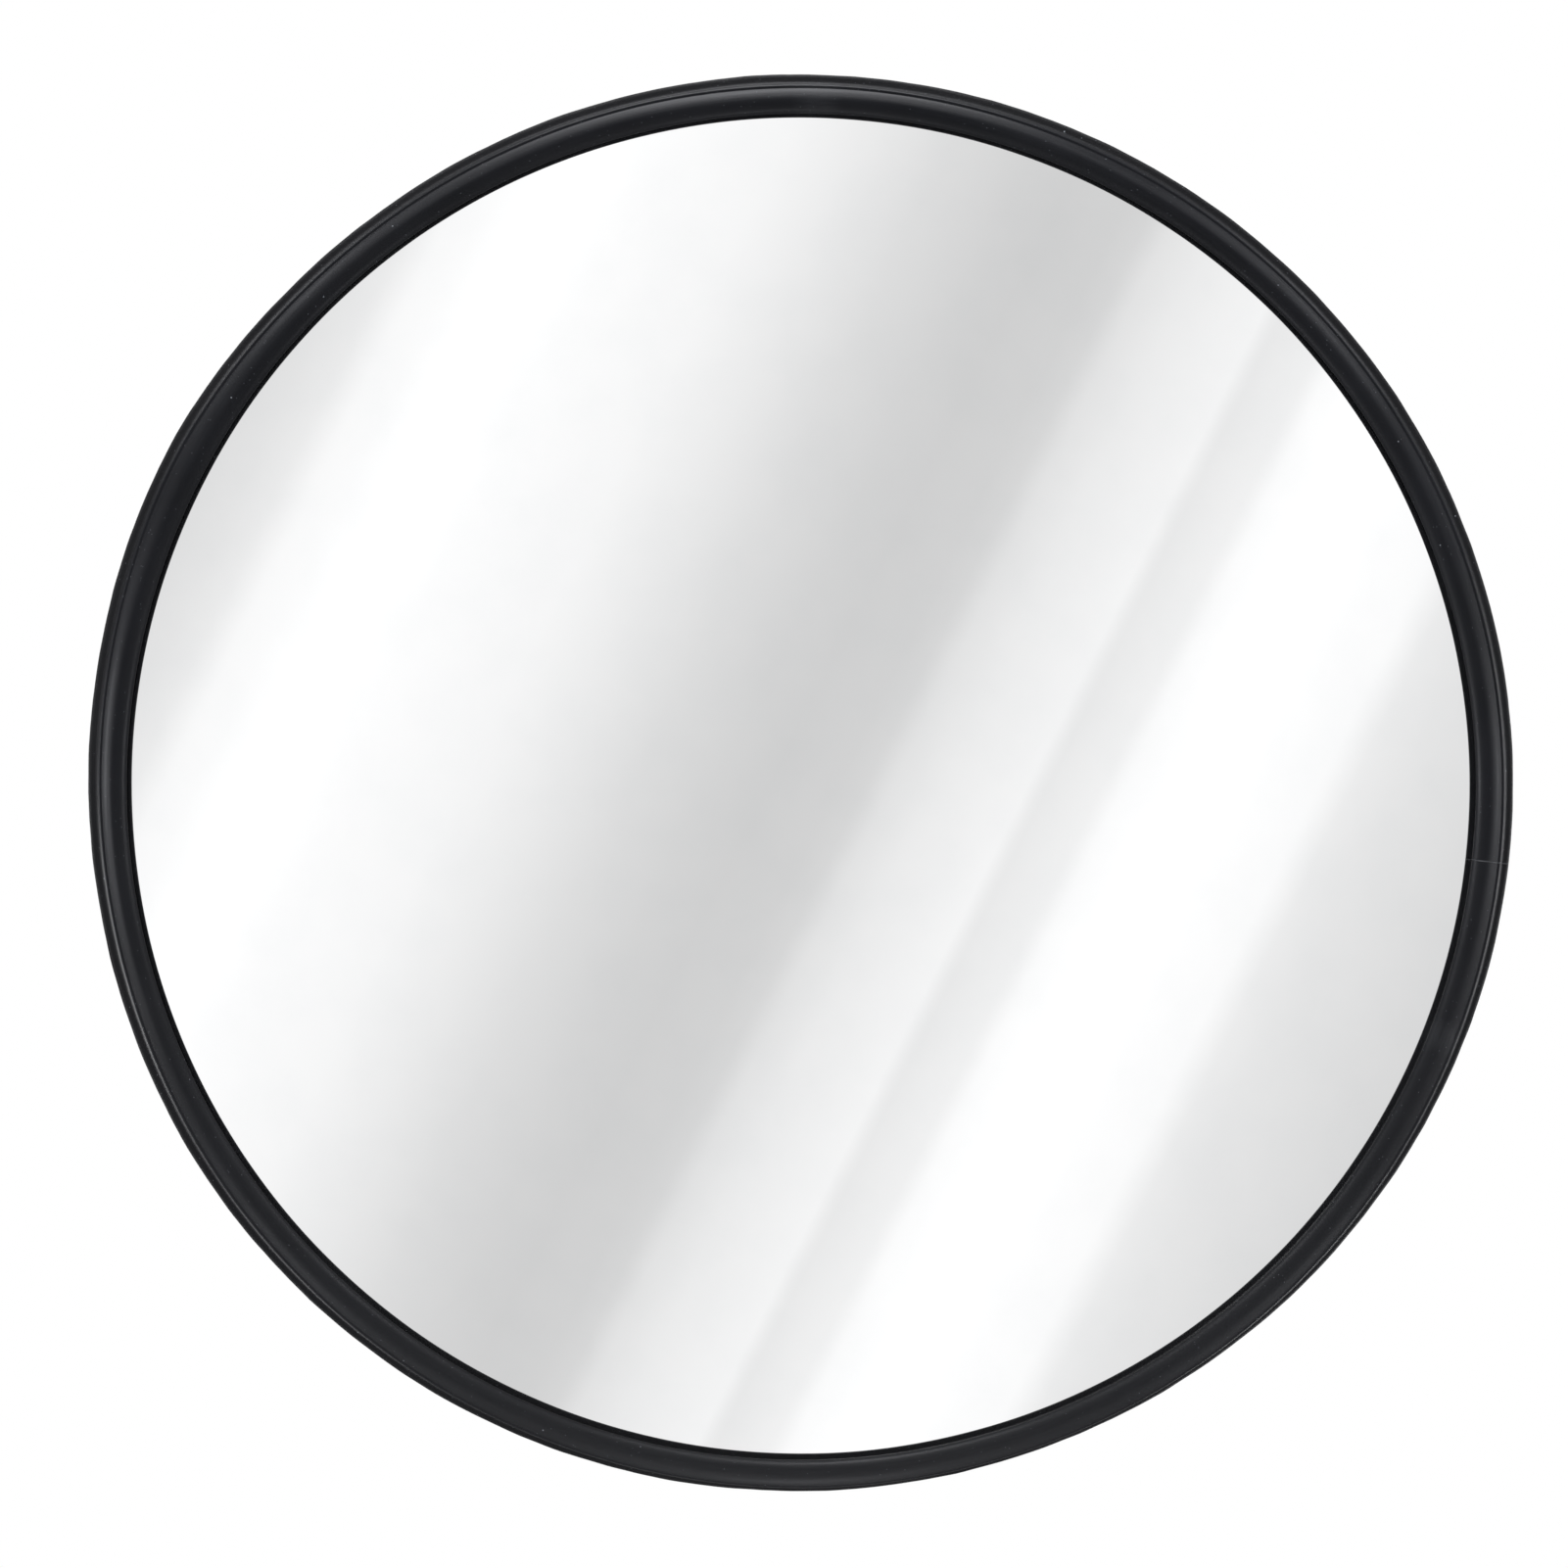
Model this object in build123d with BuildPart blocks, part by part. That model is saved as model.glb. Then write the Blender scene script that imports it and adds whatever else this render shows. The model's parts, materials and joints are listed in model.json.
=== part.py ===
from build123d import *
import os
from math import sqrt

# Convex security mirror, 12 inch class, on a wall bracket that pans and tilts.
#
# The origin is the middle of the wall plate's back face. +Z is up, and -Y points away from the
# wall into the room, so the mirror faces -Y. "Out" is a distance from the wall, along -Y.
# The head is an acrylic dome, a foam gasket and a plastic shell, held together at their rims by a
# rubber U-channel. The bracket pans about an upright bolt and tilts about a level one, and a wing
# nut on each bolt locks it. All sizes are in millimetres.

# ---- driving sizes ---------------------------------------------------------------------------
OVERALL_DIAMETER = 304.8
SIGHT_RADIUS = 144.3        # inner edge of the trim, where the mirror begins to show
DOME_RADIUS = 380.0         # radius of curvature of the mirror's front
PAN_OUT = 100.0             # wall to the upright pan axis
TILT_REACH = 31.5           # pan axis to the level tilt axis
LENS_WALL = 2.0
SHELL_WALL = 2.5
GASKET_THICKNESS = 1.0
PLATE_THICKNESS = 2.5       # every pressed steel piece of the bracket

# ---- wall plate and arm ----------------------------------------------------------------------
WALL_PLATE_WIDTH = 70.0
WALL_PLATE_HEIGHT = 90.0
WALL_PLATE_CORNER = 10.0
WALL_PLATE_CHAMFER = 0.6
WALL_HOLE_RADIUS = 2.75
WALL_HOLE_SPACING_X = 50.0
WALL_HOLE_SPACING_Z = 70.0
ARM_RADIUS = 9.0
ARM_WALL = 1.5
ARM_WELD_LEG = 4.0
BARREL_RADIUS = 11.0
BARREL_CHAMFER = 0.6
BARREL_LENGTH = 26.0

# ---- M6 pivot hardware -----------------------------------------------------------------------
PIVOT_BOLT_RADIUS = 3.0
PIVOT_BORE_RADIUS = 3.06    # running fit of the barrel and the tongue on their bolts
PIVOT_HOLE_RADIUS = 3.3     # clearance hole in the ear under the nut
NECK_WIDTH = 6.0            # square neck that keeps a carriage bolt from turning
NECK_HOLE_WIDTH = 6.2
BOLT_HEAD_RADIUS = 7.2
BOLT_HEAD_HEIGHT = 3.2
BOLT_HEAD_RIM = 0.4         # upright edge left under the dome of the head
BOLT_TIP_CHAMFER = 0.5
RUNNING_GAP = 0.05          # thrust washer to the barrel or the tongue that turns against it
THRUST_WASHER_RADIUS = 8.5
THRUST_WASHER_THICKNESS = 1.0
FLAT_WASHER_RADIUS = 7.0
FLAT_WASHER_THICKNESS = 1.2
SPRING_WASHER_RADIUS = 5.4
SPRING_WASHER_THICKNESS = 1.6
SPRING_WASHER_GAP = 1.0
WING_NUT_BASE_RADIUS = 6.2
WING_NUT_BOSS_HEIGHT = 8.0
WING_NUT_TAPER = 6.0
WING_REACH = 14.0           # axis to the tip of a wing
WING_LOBE_RADIUS = 4.6
WING_LOBE_HEIGHT = 9.0      # seat to the middle of a lobe
WING_THICKNESS = 2.4
WING_ROOT_WIDTH = 2.0       # part of each wing buried in the boss
WING_ROOT_HEIGHT = 6.0
BOLT_END_BEYOND_NUT = 3.5

# ---- swivel fork, a casting ------------------------------------------------------------------
EAR_THICKNESS = 4.5
FORK_EAR_RADIUS = 11.0
FORK_WEB_GAP = 2.0          # barrel to the fork's web
FORK_WEB_THICKNESS = 6.0
TONGUE_WIDTH = 12.0
TONGUE_RADIUS = 9.0
FORK_CORNER = 2.5
FORK_ROUNDING = 1.2
TONGUE_ROOT_FILLET = 1.5
TONGUE_RIM_FILLET = 0.8
MOUTH_FILLET = 1.5

# ---- tilt clevis and head plate --------------------------------------------------------------
CLEVIS_EAR_RADIUS = 10.0
CLEVIS_DEPTH = 14.5         # tilt axis to the clevis's web
CLEVIS_HEIGHT = 28.0
CLEVIS_BEND = 3.0           # outside radius of the two folds
HEX_SIDES = 6
HEAD_PLATE_RADIUS = 40.0
HEAD_PLATE_CHAMFER = 0.5
BACKING_PLATE_RADIUS = 38.0
BACKING_PLATE_THICKNESS = 2.0
HEAD_SCREW_CIRCLE = 60.0
HEAD_SCREW_COUNT = 4
HEAD_SCREW_ANGLE = 45.0     # level line to the first screw
HEAD_SCREW_RADIUS = 2.45
HEAD_SCREW_HOLE = 2.75
HEAD_SCREW_HEAD_RADIUS = 4.6
HEAD_SCREW_HEAD_HEIGHT = 2.9
HEAD_SCREW_DOME = 1.7
HEAD_SCREW_SOCKET_RADIUS = 1.7
HEAD_SCREW_SOCKET_DEPTH = 1.6
HEAD_NUT_ACROSS_FLATS = 8.0
HEAD_NUT_HEIGHT = 4.0
HEAD_NUT_BORE = 2.5
HEAD_SCREW_LENGTH = 12.5

# ---- mirror head -----------------------------------------------------------------------------
RIM_RADIUS = 149.8          # outer edge of the lens, the gasket and the shell, inside the trim
DOME_ROOT_RADIUS = 144.5    # where the dome's front meets the flat flange
SHELL_BOSS_RADIUS = 44.0
SHELL_BOSS_HEIGHT = 2.5
SHELL_PANEL_RADIUS = 108.0
SHELL_PANEL_DEPTH = 8.0     # panel to the rim flange
SHELL_RIB_COUNT = 8
SHELL_RIB_ANGLE = 22.5      # level line to the first rib
SHELL_RIB_END = 104.0       # shell's axis to the outer end of a rib
SHELL_RIB_WIDTH = 2.4
SHELL_RIB_HEIGHT = 1.4
TRIM_SIDE = 2.2             # rubber outside the rim stack
TRIM_BACK_LEG = 2.2
TRIM_BACK_REACH = 12.0      # how far the back leg runs in from the outer edge
TRIM_FRONT_LEG = 3.2
TRIM_LIP_WIDTH = 1.5        # narrow lip outside the front bead
TRIM_LIP_DROP = 2.2         # bead's face to the lip's face
TRIM_TOE_HEIGHT = 0.3       # flange to the bead's inner toe, clear of the dome's slope
TRIM_INNER_SHOULDER = 1.8
TRIM_OUTER_SHOULDER = 2.0
TRIM_LIP_CORNER = 0.7
TRIM_BACK_CORNER = 1.0

# ---- places worked out from those sizes ------------------------------------------------------
TRIM_RADIUS = OVERALL_DIAMETER / 2
TILT_OUT = PAN_OUT + TILT_REACH
FORK_EAR_INNER = BARREL_LENGTH / 2 + RUNNING_GAP + THRUST_WASHER_THICKNESS
FORK_EAR_OUTER = FORK_EAR_INNER + EAR_THICKNESS
FORK_WEB_OUT = PAN_OUT + BARREL_RADIUS + FORK_WEB_GAP
FORK_FACE_OUT = FORK_WEB_OUT + FORK_WEB_THICKNESS
CLEVIS_INNER = TONGUE_WIDTH / 2 + RUNNING_GAP + THRUST_WASHER_THICKNESS
CLEVIS_OUTER = CLEVIS_INNER + PLATE_THICKNESS
CLEVIS_WEB_OUT = TILT_OUT + CLEVIS_DEPTH
HEAD_PLATE_OUT = CLEVIS_WEB_OUT + PLATE_THICKNESS
SHELL_OUT = HEAD_PLATE_OUT + PLATE_THICKNESS
SHELL_PANEL_OUT = SHELL_OUT + SHELL_BOSS_HEIGHT
SHELL_FLANGE_OUT = SHELL_PANEL_OUT + SHELL_PANEL_DEPTH
BACKING_PLATE_OUT = SHELL_OUT + SHELL_WALL
HEAD_NUT_OUT = BACKING_PLATE_OUT + BACKING_PLATE_THICKNESS
GASKET_OUT = SHELL_FLANGE_OUT + SHELL_WALL
LENS_OUT = GASKET_OUT + GASKET_THICKNESS
LENS_FACE_OUT = LENS_OUT + LENS_WALL
DOME_SAG = DOME_RADIUS - sqrt(DOME_RADIUS**2 - DOME_ROOT_RADIUS**2)
DOME_APEX_OUT = LENS_FACE_OUT + DOME_SAG
DOME_CENTRE_OUT = DOME_APEX_OUT - DOME_RADIUS
DOME_INNER_RADIUS = DOME_RADIUS - LENS_WALL
DOME_INNER_ROOT = sqrt(DOME_INNER_RADIUS**2 - (LENS_OUT - DOME_CENTRE_OUT) ** 2)
TRIM_FACE_OUT = LENS_FACE_OUT + TRIM_FRONT_LEG
TRIM_BACK_OUT = SHELL_FLANGE_OUT - TRIM_BACK_LEG

# Each pivot bolt's plane lies where its head bears, and its z axis runs from the head to the nut.
PAN_BOLT_SEAT = Plane(origin=(0, -PAN_OUT, FORK_EAR_OUTER), x_dir=(1, 0, 0), z_dir=(0, 0, -1))
TILT_BOLT_SEAT = Plane(origin=(CLEVIS_OUTER, -TILT_OUT, 0), x_dir=(0, 0, 1), z_dir=(-1, 0, 0))
PAN_GRIP = 2 * FORK_EAR_OUTER
TILT_GRIP = 2 * CLEVIS_OUTER

EDGE_TOLERANCE = 0.01       # how near an edge's middle lies to the place it is picked by


# ---- repeated hardware -----------------------------------------------------------------------
def ring(plane, inner, outer, thickness):
    """A flat ring standing on a plane."""
    with BuildPart() as made:
        with BuildSketch(plane):
            Circle(outer)
            Circle(inner, mode=Mode.SUBTRACT)
        extrude(amount=thickness)
    return made.part


def carriage_bolt(seat, neck_length, grip):
    """A domed bolt with a square neck, long enough for the grip, two washers and a wing nut."""
    stack = FLAT_WASHER_THICKNESS + SPRING_WASHER_THICKNESS + WING_NUT_BOSS_HEIGHT
    with BuildPart() as made:
        with BuildSketch(seat):
            Circle(BOLT_HEAD_RADIUS)
        extrude(amount=-BOLT_HEAD_HEIGHT)
        crown = made.faces().sort_by(Axis(seat.origin, seat.z_dir))[0]
        fillet(crown.edges(), BOLT_HEAD_HEIGHT - BOLT_HEAD_RIM)
        with BuildSketch(seat):
            Rectangle(NECK_WIDTH, NECK_WIDTH)
        extrude(amount=neck_length)
        with BuildSketch(seat.offset(neck_length)):
            Circle(PIVOT_BOLT_RADIUS)
        extrude(amount=grip - neck_length + stack + BOLT_END_BEYOND_NUT)
        tip = made.faces().sort_by(Axis(seat.origin, seat.z_dir))[-1]
        chamfer(tip.edges(), BOLT_TIP_CHAMFER)
    return made.part


def spring_washer(seat):
    """A split lock washer standing on its seat."""
    with BuildPart() as made:
        with BuildSketch(seat):
            Circle(SPRING_WASHER_RADIUS)
            Circle(PIVOT_HOLE_RADIUS, mode=Mode.SUBTRACT)
            with Locations((SPRING_WASHER_RADIUS / 2, 0)):
                Rectangle(SPRING_WASHER_RADIUS, SPRING_WASHER_GAP, mode=Mode.SUBTRACT)
        extrude(amount=SPRING_WASHER_THICKNESS)
    return made.part


def wing_nut(seat):
    """A tapered boss with two upright wings, standing on its seat."""
    upright = Plane(origin=seat.origin, x_dir=seat.x_dir, z_dir=seat.x_dir.cross(seat.z_dir))
    lobe_x = WING_REACH - WING_LOBE_RADIUS
    with BuildPart() as made:
        with BuildSketch(seat):
            Circle(WING_NUT_BASE_RADIUS)
        extrude(amount=WING_NUT_BOSS_HEIGHT, taper=WING_NUT_TAPER)
        for side in (1, -1):
            with BuildSketch(upright):
                with Locations((side * lobe_x, WING_LOBE_HEIGHT)):
                    Circle(WING_LOBE_RADIUS)
                with Locations((side * PIVOT_BOLT_RADIUS, WING_NUT_BOSS_HEIGHT / 2)):
                    Rectangle(WING_ROOT_WIDTH, WING_ROOT_HEIGHT)
                make_hull()
            extrude(amount=WING_THICKNESS / 2, both=True)
        with BuildSketch(seat):
            Circle(PIVOT_BORE_RADIUS)
        extrude(amount=WING_LOBE_HEIGHT + WING_LOBE_RADIUS, mode=Mode.SUBTRACT)
    return made.part


# ---- wall bracket, which is fixed ------------------------------------------------------------
with BuildPart() as wall_plate:
    with BuildSketch(Plane.XZ):
        RectangleRounded(WALL_PLATE_WIDTH, WALL_PLATE_HEIGHT, WALL_PLATE_CORNER)
        with GridLocations(WALL_HOLE_SPACING_X, WALL_HOLE_SPACING_Z, 2, 2):
            Circle(WALL_HOLE_RADIUS, mode=Mode.SUBTRACT)
    extrude(amount=PLATE_THICKNESS)
    room_face = wall_plate.faces().sort_by(Axis.Y)[0]
    chamfer(room_face.outer_wire().edges(), WALL_PLATE_CHAMFER)

with BuildPart() as arm_tube:
    with BuildSketch(Plane.XZ.offset(PLATE_THICKNESS)):
        Circle(ARM_RADIUS)
        Circle(ARM_RADIUS - ARM_WALL, mode=Mode.SUBTRACT)
    extrude(amount=PAN_OUT - PLATE_THICKNESS)
    with BuildSketch(Plane.XY.offset(-BARREL_LENGTH / 2)):
        with Locations((0, -PAN_OUT)):
            Circle(BARREL_RADIUS)
    extrude(amount=BARREL_LENGTH, mode=Mode.SUBTRACT)

with BuildPart() as arm_weld:
    arm_side = (ARM_RADIUS, -PLATE_THICKNESS - ARM_WELD_LEG)
    plate_side = (ARM_RADIUS + ARM_WELD_LEG, -PLATE_THICKNESS)
    with BuildSketch(Plane.XY):
        with BuildLine():
            RadiusArc(arm_side, plate_side, 2 * ARM_WELD_LEG)
            Polyline(plate_side, (ARM_RADIUS, -PLATE_THICKNESS), arm_side)
        make_face()
    revolve(axis=Axis.Y)

with BuildPart() as pan_barrel:
    with BuildSketch(Plane.XY.offset(-BARREL_LENGTH / 2)):
        with Locations((0, -PAN_OUT)):
            Circle(BARREL_RADIUS)
            Circle(PIVOT_BORE_RADIUS, mode=Mode.SUBTRACT)
    extrude(amount=BARREL_LENGTH)
    rims = pan_barrel.edges().filter_by(GeomType.CIRCLE)
    chamfer(rims.filter_by(lambda rim: rim.radius > ARM_RADIUS), BARREL_CHAMFER)

# ---- swivel, which pans ----------------------------------------------------------------------
with BuildPart() as swivel_fork:
    with BuildSketch(Plane.XY.offset(-FORK_EAR_OUTER)) as fork_outline:
        with Locations((0, -PAN_OUT)):
            Circle(FORK_EAR_RADIUS)
        with Locations((0, -(PAN_OUT + FORK_FACE_OUT) / 2)):
            Rectangle(2 * FORK_EAR_RADIUS, FORK_FACE_OUT - PAN_OUT)
        fillet(fork_outline.vertices().group_by(Axis.Y)[0], FORK_CORNER)
    extrude(amount=2 * FORK_EAR_OUTER)
    fillet(swivel_fork.faces().filter_by(Axis.Z).edges(), FORK_ROUNDING)
    with BuildSketch(Plane.YZ):
        with Locations((-TILT_OUT, 0)):
            Circle(TONGUE_RADIUS)
        with Locations((-(TILT_OUT + FORK_WEB_OUT) / 2, 0)):
            Rectangle(TILT_OUT - FORK_WEB_OUT, 2 * TONGUE_RADIUS)
    extrude(amount=TONGUE_WIDTH / 2, both=True)
    face_edges = swivel_fork.edges().filter_by(
        lambda edge: abs(edge.center().Y + FORK_FACE_OUT) < EDGE_TOLERANCE
    )
    root_edges = face_edges.filter_by(
        lambda edge: abs(edge.center().Z) <= TONGUE_RADIUS + EDGE_TOLERANCE
    )
    fillet(root_edges, TONGUE_ROOT_FILLET)
    nose_edges = swivel_fork.edges().filter_by(GeomType.CIRCLE).filter_by(
        lambda edge: edge.center().Y < -TILT_OUT
    )
    tongue_rims = nose_edges.filter_by(
        lambda edge: abs(abs(edge.center().X) - TONGUE_WIDTH / 2) < EDGE_TOLERANCE
    )
    fillet(tongue_rims, TONGUE_RIM_FILLET)
    mouth_back = PAN_OUT - FORK_EAR_RADIUS
    with BuildSketch(Plane.YZ) as mouth:
        with Locations((-(mouth_back + FORK_WEB_OUT) / 2, 0)):
            Rectangle(FORK_WEB_OUT - mouth_back, 2 * FORK_EAR_INNER)
        fillet(mouth.vertices().group_by(Axis.X)[0], MOUTH_FILLET)
    extrude(amount=FORK_EAR_RADIUS, both=True, mode=Mode.SUBTRACT)
    with BuildSketch(Plane.XY.offset(FORK_EAR_INNER)):
        with Locations((0, -PAN_OUT)):
            Rectangle(NECK_HOLE_WIDTH, NECK_HOLE_WIDTH)
    extrude(amount=EAR_THICKNESS, mode=Mode.SUBTRACT)
    with BuildSketch(Plane.XY.offset(-FORK_EAR_OUTER)):
        with Locations((0, -PAN_OUT)):
            Circle(PIVOT_HOLE_RADIUS)
    extrude(amount=EAR_THICKNESS, mode=Mode.SUBTRACT)
    with BuildSketch(Plane.YZ):
        with Locations((-TILT_OUT, 0)):
            Circle(PIVOT_BORE_RADIUS)
    extrude(amount=TONGUE_WIDTH / 2, both=True, mode=Mode.SUBTRACT)

with BuildPart() as pan_bolt:
    add(carriage_bolt(PAN_BOLT_SEAT, EAR_THICKNESS, PAN_GRIP))

with BuildPart() as pan_thrust_washers:
    for base in (BARREL_LENGTH / 2 + RUNNING_GAP, -FORK_EAR_INNER):
        seat = Plane(origin=(0, -PAN_OUT, base))
        add(ring(seat, PIVOT_BORE_RADIUS, THRUST_WASHER_RADIUS, THRUST_WASHER_THICKNESS))

with BuildPart() as pan_flat_washer:
    seat = PAN_BOLT_SEAT.offset(PAN_GRIP)
    add(ring(seat, PIVOT_HOLE_RADIUS, FLAT_WASHER_RADIUS, FLAT_WASHER_THICKNESS))

with BuildPart() as pan_lock_washer:
    add(spring_washer(PAN_BOLT_SEAT.offset(PAN_GRIP + FLAT_WASHER_THICKNESS)))

with BuildPart() as pan_wing_nut:
    nut_seat = PAN_GRIP + FLAT_WASHER_THICKNESS + SPRING_WASHER_THICKNESS
    add(wing_nut(PAN_BOLT_SEAT.offset(nut_seat)))

# ---- tilt joint, which rides on the mirror head ----------------------------------------------
with BuildPart() as tilt_clevis:
    for ear_base in (CLEVIS_INNER, -CLEVIS_OUTER):
        with BuildSketch(Plane.YZ.offset(ear_base)):
            with Locations((-TILT_OUT, 0)):
                Circle(CLEVIS_EAR_RADIUS)
            with Locations((-(CLEVIS_WEB_OUT + PLATE_THICKNESS / 2), 0)):
                Rectangle(PLATE_THICKNESS, CLEVIS_HEIGHT)
            make_hull()
        extrude(amount=PLATE_THICKNESS)
    with BuildSketch(Plane.XZ.offset(CLEVIS_WEB_OUT)):
        Rectangle(2 * CLEVIS_OUTER, CLEVIS_HEIGHT)
    extrude(amount=PLATE_THICKNESS)
    upright_edges = tilt_clevis.edges().filter_by(Axis.Z)
    fillet(upright_edges.group_by(Axis.Y)[0], CLEVIS_BEND)
    with BuildSketch(Plane.YZ.offset(CLEVIS_INNER)):
        with Locations((-TILT_OUT, 0)):
            Rectangle(NECK_HOLE_WIDTH, NECK_HOLE_WIDTH)
    extrude(amount=PLATE_THICKNESS, mode=Mode.SUBTRACT)
    with BuildSketch(Plane.YZ.offset(-CLEVIS_OUTER)):
        with Locations((-TILT_OUT, 0)):
            Circle(PIVOT_HOLE_RADIUS)
    extrude(amount=PLATE_THICKNESS, mode=Mode.SUBTRACT)

with BuildPart() as tilt_bolt:
    add(carriage_bolt(TILT_BOLT_SEAT, PLATE_THICKNESS, TILT_GRIP))

with BuildPart() as tilt_thrust_washers:
    for base in (TONGUE_WIDTH / 2 + RUNNING_GAP, -CLEVIS_INNER):
        seat = Plane(origin=(base, -TILT_OUT, 0), x_dir=(0, 1, 0), z_dir=(1, 0, 0))
        add(ring(seat, PIVOT_BORE_RADIUS, THRUST_WASHER_RADIUS, THRUST_WASHER_THICKNESS))

with BuildPart() as tilt_flat_washer:
    seat = TILT_BOLT_SEAT.offset(TILT_GRIP)
    add(ring(seat, PIVOT_HOLE_RADIUS, FLAT_WASHER_RADIUS, FLAT_WASHER_THICKNESS))

with BuildPart() as tilt_lock_washer:
    add(spring_washer(TILT_BOLT_SEAT.offset(TILT_GRIP + FLAT_WASHER_THICKNESS)))

with BuildPart() as tilt_wing_nut:
    nut_seat = TILT_GRIP + FLAT_WASHER_THICKNESS + SPRING_WASHER_THICKNESS
    add(wing_nut(TILT_BOLT_SEAT.offset(nut_seat)))

# ---- head fixings ----------------------------------------------------------------------------
HEAD_SCREW_PLACES = PolarLocations(HEAD_SCREW_CIRCLE / 2, HEAD_SCREW_COUNT, start_angle=HEAD_SCREW_ANGLE)

with BuildPart() as head_plate:
    with BuildSketch(Plane.XZ.offset(HEAD_PLATE_OUT)):
        Circle(HEAD_PLATE_RADIUS)
        with HEAD_SCREW_PLACES:
            Circle(HEAD_SCREW_HOLE, mode=Mode.SUBTRACT)
    extrude(amount=PLATE_THICKNESS)
    wall_face = head_plate.faces().sort_by(Axis.Y)[-1]
    chamfer(wall_face.outer_wire().edges(), HEAD_PLATE_CHAMFER)

with BuildPart() as backing_plate:
    with BuildSketch(Plane.XZ.offset(BACKING_PLATE_OUT)):
        Circle(BACKING_PLATE_RADIUS)
        with HEAD_SCREW_PLACES:
            Circle(HEAD_SCREW_HOLE, mode=Mode.SUBTRACT)
    extrude(amount=BACKING_PLATE_THICKNESS)

with BuildPart() as head_screws:
    with BuildSketch(Plane.XZ.offset(HEAD_PLATE_OUT)):
        with HEAD_SCREW_PLACES:
            Circle(HEAD_SCREW_HEAD_RADIUS)
    extrude(amount=-HEAD_SCREW_HEAD_HEIGHT)
    crowns = head_screws.faces().filter_by(Axis.Y).group_by(Axis.Y)[-1]
    fillet(crowns.edges(), HEAD_SCREW_DOME)
    with BuildSketch(Plane.XZ.offset(HEAD_PLATE_OUT)):
        with HEAD_SCREW_PLACES:
            Circle(HEAD_SCREW_RADIUS)
    extrude(amount=HEAD_SCREW_LENGTH)
    with BuildSketch(Plane.XZ.offset(HEAD_PLATE_OUT - HEAD_SCREW_HEAD_HEIGHT)):
        with HEAD_SCREW_PLACES:
            RegularPolygon(HEAD_SCREW_SOCKET_RADIUS, HEX_SIDES)
    extrude(amount=HEAD_SCREW_SOCKET_DEPTH, mode=Mode.SUBTRACT)

with BuildPart() as head_nuts:
    with BuildSketch(Plane.XZ.offset(HEAD_NUT_OUT)):
        with HEAD_SCREW_PLACES:
            RegularPolygon(HEAD_NUT_ACROSS_FLATS / 2, HEX_SIDES, major_radius=False)
            Circle(HEAD_NUT_BORE, mode=Mode.SUBTRACT)
    extrude(amount=HEAD_NUT_HEIGHT)

# ---- mirror head, which tilts ----------------------------------------------------------------
# The shell's back follows a boss, a flat panel and a rim flange. Its front is the same line, one
# wall further out.
shell_back_line = [
    (0, -SHELL_OUT),
    (SHELL_BOSS_RADIUS, -SHELL_OUT),
    (SHELL_BOSS_RADIUS + SHELL_BOSS_HEIGHT, -SHELL_PANEL_OUT),
    (SHELL_PANEL_RADIUS, -SHELL_PANEL_OUT),
    (SHELL_PANEL_RADIUS + SHELL_PANEL_DEPTH, -SHELL_FLANGE_OUT),
    (RIM_RADIUS, -SHELL_FLANGE_OUT),
]
shell_front_line = [(r, y - SHELL_WALL) for r, y in reversed(shell_back_line)]

with BuildPart() as back_shell:
    with BuildSketch(Plane.XY):
        with BuildLine():
            Polyline(*shell_back_line, *shell_front_line, close=True)
        make_face()
    revolve(axis=Axis.Y)
    rib_start = SHELL_BOSS_RADIUS + SHELL_BOSS_HEIGHT / 2
    rib_length = SHELL_RIB_END - rib_start
    with BuildSketch(Plane.XZ.offset(SHELL_PANEL_OUT - SHELL_RIB_HEIGHT)):
        with PolarLocations(rib_start + rib_length / 2, SHELL_RIB_COUNT, start_angle=SHELL_RIB_ANGLE):
            Rectangle(rib_length, SHELL_RIB_WIDTH)
    extrude(amount=SHELL_RIB_HEIGHT + SHELL_WALL / 2)
    with BuildSketch(Plane.XZ.offset(SHELL_OUT)):
        with HEAD_SCREW_PLACES:
            Circle(HEAD_SCREW_HOLE)
    extrude(amount=SHELL_WALL, mode=Mode.SUBTRACT)

with BuildPart() as lens_gasket:
    gasket_seat = Plane.XZ.offset(GASKET_OUT)
    add(ring(gasket_seat, DOME_ROOT_RADIUS, RIM_RADIUS, GASKET_THICKNESS))

with BuildPart() as mirror_lens:
    with BuildSketch(Plane.XY):
        with BuildLine():
            RadiusArc((0, -DOME_APEX_OUT), (DOME_ROOT_RADIUS, -LENS_FACE_OUT), DOME_RADIUS)
            Polyline(
                (DOME_ROOT_RADIUS, -LENS_FACE_OUT),
                (RIM_RADIUS, -LENS_FACE_OUT),
                (RIM_RADIUS, -LENS_OUT),
                (DOME_INNER_ROOT, -LENS_OUT),
            )
            inner_apex = (0, -(DOME_APEX_OUT - LENS_WALL))
            RadiusArc(inner_apex, (DOME_INNER_ROOT, -LENS_OUT), DOME_INNER_RADIUS)
            Line(inner_apex, (0, -DOME_APEX_OUT))
        make_face()
    revolve(axis=Axis.Y)

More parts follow.
